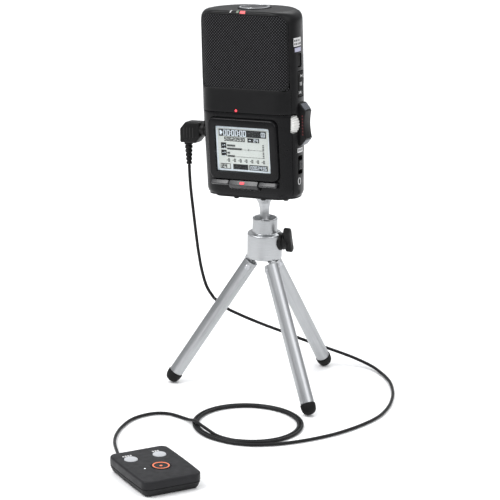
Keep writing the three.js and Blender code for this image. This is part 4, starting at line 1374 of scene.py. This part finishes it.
def lock():
    turned_lock = LOCK @ Matrix.Rotation(LOCK_TURN, 4, "X")
    stem = rod(2, "x", 6.6, 15.6, (0, 0), 32, turned_lock)
    profile = softened([(0, 11.7), (4.8, 11.7), (4.8, 12.6), (3.4, 14.2), (0, 14.2)], 0.3)
    collar = turned("collar", profile, turned_lock, "x")
    bar = slab("bar", rounded(-2.3, 2.3, -7, 10.4, 2.2, 8), 12.8, 17, "x", turned_lock, edge=0.9)
    grips = []
    for side in (-1, 1):
        for i in range(4):
            z = 1.25 + side * (3.2 + 1.2 * i)
            grips.append(tube("grip", [(16.85, -1.5, z), (16.85, 1.5, z)], 0.28, turned_lock, sides=8))
    finish(joined("lock_wing", [stem, collar, bar, *grips]), "lock", "black_rubber", PLUG_BLACK, "lock_knob")


hub()
legs()
ball_head()
lock()

# ---- remote control ----


def remote_outline():
    wide, long, _ = REMOTE
    points = divided(rounded(-wide / 2, wide / 2, -long / 2, long / 2, 4.2, 8), 3)
    return [Vector((p.x * (1 + REMOTE_BOW * (1 - (2 * p.y / long) ** 2)), p.y)) for p in points]


def remote_control():
    _, long, top = REMOTE
    profile = [(2.6, 0.0), (2.2, 0.15), (1.3, 1.2), (0.1, 4.0), (0.25, REMOTE_SPLIT)]
    loops = [[(p.x, p.y, h) for p in inset(remote_outline(), d)] for d, h in profile]
    base = made("remote_lower", *skinned(loops), REMOTE_PLACE)
    finish(base, "tripod", "remote_base_grey", REMOTE_BASE, "remote_base")
    lid = slab("remote_upper", remote_outline(), REMOTE_SPLIT + 0.3, top, "z", REMOTE_PLACE,
               edge=1.1, low_edge=0.25, steps=6)
    keys = (
        ("remote_rec", "remote_rec_button", 1.5, -4.5, 5.5, REMOTE_TOP, "remote_grey"),
        ("remote_pause", "remote_pause_button", -9.3, 11.5, 3.9, GREY_KEY, "grey_key"),
        ("remote_mark", "remote_mark_button", 8.4, 11.5, 3.9, GREY_KEY, "grey_key"),
    )
    holes = [rod(radius + GAP, "z", 8.2, 12, (x, y), 64, REMOTE_PLACE) for _, _, x, y, radius, _, _ in keys]
    leads = rod(2.4, "y", long / 2 - 3, long / 2 + 3, (-8.3, 4.6), 32, REMOTE_PLACE)
    cut(lid, *holes, leads)
    finish(lid, "tripod", "remote_grey", REMOTE_TOP, "remote_top")
    seam = slab("remote_seam", inset(remote_outline(), 0.5), REMOTE_SPLIT - 0.3, REMOTE_SPLIT + 0.6,
                "z", REMOTE_PLACE)
    finish(seam, "tripod", "black_rubber", RUBBER)
    for name, node, x, y, radius, material, slot in keys:
        profile = [
            (0, 6.9), (radius, 6.9), (radius, top + 0.05), (radius - 0.3, top + 0.3),
            (radius - 0.9, top + 0.28),
        ]
        profile += [(radius * 0.5, top + 0.12), (0, top + 0.08)]
        key = turned(f"{name}_key", softened(profile, 0.2), REMOTE_PLACE, centre=(x, y), sides=64)
        finish(key, f"{node}_body", slot, material, node)
    dot = turned("dot", softened([(0, top), (0.9, top), (0.9, top + 0.22), (0, top + 0.26)], 0.1),
                 REMOTE_PLACE, centre=(1.5, -4.5), sides=40)
    section = [(4.0, top + 0.1), (4.9, top + 0.1), (4.8, top + 0.36), (4.1, top + 0.34), (4.0, top + 0.1)]
    ring = turned("ring", section, REMOTE_PLACE, centre=(1.5, -4.5), sides=96)
    finish(joined("remote_rec_ring", [dot, ring]), "remote_rec_button_body", "orange_key", ORANGE)
    marks = []
    for x, y, count in ((-9.3, 16.6, 4), (8.4, 16.6, 3)):
        for i in range(count):
            across = x + 1.5 * (i - (count - 1) / 2)
            outline = rounded(across - 0.5, across + 0.5, y - 0.75, y + 0.75, 0.15)
            marks.append(slab("mark", outline, top - 0.1, top + 0.04, "z", REMOTE_PLACE, edge=0.02))
    finish(joined("remote_marks", marks), "tripod", "white_plastic", WHITE_PRINT)
    profile = softened([(0, top - 0.4), (0.5, top - 0.4), (0.5, top + 0.1), (0, top + 0.12)], 0.1)
    lamp = turned("remote_lamp", profile, REMOTE_PLACE, centre=(-8.4, -4.4), sides=20)
    finish(lamp, "tripod", "white_plastic", WHITE_LAMP)
    reach = long / 2
    relief = softened([
        (0, reach - 2.6), (2.1, reach - 2.6), (2.1, reach + 0.8), (1.7, reach + 1.2), (1.9, reach + 1.8),
        (1.5, reach + 2.3), (1.7, reach + 3), (1.3, reach + 3.6), (1.4, reach + 5), (0, reach + 5),
    ], 0.2)
    sleeve = turned("remote_sleeve", relief, REMOTE_PLACE, "y", (-8.3, 4.6), 32)
    finish(sleeve, "tripod", "black_rubber", RUBBER, "remote_relief")


remote_control()

# ---- pieces kept from the model ----

KEPT = {
    "ball_seat": WHITE_PLASTIC, "remote_board": BOARD, "main_board": BOARD, "mic_holder": RUBBER,
    "mic_front": STEEL, "mic_left": STEEL, "mic_right": STEEL, "speaker": STEEL, "battery_1": BATTERY,
    "battery_2": BATTERY, "battery_contacts": STEEL, "tripod_bush": BRASS, "case_screw_1": STEEL,
    "case_screw_2": STEEL, "jack_remote": STEEL, "jack_line": STEEL, "jack_phones": STEEL,
}
for node_name, material in KEPT.items():
    node_object = frame["nodes"][node_name]
    for slot_of_node in node_object.material_slots:
        slot_of_node.link = "OBJECT"
        slot_of_node.material = material

# ---- floor and light ----


def floor():
    size = 1500
    data = bpy.data.meshes.new("floor")
    corners = [(-size, -size), (size, -size), (size, size), (-size, size)]
    data.from_pydata([Vector((x * MM, y * MM, -0.0002)) for x, y in corners], [], [(0, 1, 2, 3)])
    obj = bpy.data.objects.new("floor", data)
    bpy.context.scene.collection.objects.link(obj)
    look = Look("pale_floor", Roughness=0.6)
    drift = look.ranged(look.noise(3, 2), 0.3, 0.7)
    look.set("Base Color", look.mix(drift, (0.93, 0.93, 0.93, 1), (0.96, 0.96, 0.96, 1)))
    data.materials.append(look.material)


LAMP_AIM = Vector((0, 0.03, 0.08))
SKY = (0.3, 1.0)  # strength at the horizon and above
SKY_RISE = 0.6  # the height at which it is full, on a ball of radius 1


def lamp(name, azimuth, elevation, distance, size, power):
    data = bpy.data.lights.new(name, "AREA")
    data.shape = "DISK"
    data.size = size
    data.energy = power
    obj = bpy.data.objects.new(name, data)
    bpy.context.scene.collection.objects.link(obj)
    a, e = radians(azimuth), radians(elevation)
    direction = Vector((sin(a) * cos(e), -cos(a) * cos(e), sin(e)))
    obj.location = LAMP_AIM + direction * distance
    obj.rotation_euler = direction.to_track_quat("Z", "Y").to_euler()


def surroundings():
    world = bpy.data.worlds.new("studio")
    bpy.context.scene.world = world
    world.use_nodes = True
    tree = world.node_tree
    shade = tree.nodes["Background"]
    place = tree.nodes.new("ShaderNodeTexCoord")
    parts = tree.nodes.new("ShaderNodeSeparateXYZ")
    height = tree.nodes.new("ShaderNodeMapRange")
    for key, value in (("From Min", 0), ("From Max", SKY_RISE), ("To Min", SKY[0]), ("To Max", SKY[1])):
        height.inputs[key].default_value = value
    tree.links.new(place.outputs["Generated"], parts.inputs["Vector"])
    tree.links.new(parts.outputs["Z"], height.inputs["Value"])
    tree.links.new(height.outputs["Result"], shade.inputs["Strength"])
    shade.inputs["Color"].default_value = (0.97, 0.98, 1.0, 1)
    bpy.context.scene.view_settings.view_transform = "Standard"


floor()
lamp("key_light", -35, 52, 1.1, 0.7, 8)
lamp("fill_light", 75, 35, 1.2, 0.9, 3.5)
lamp("back_light", 190, 50, 1.2, 0.8, 5)
surroundings()
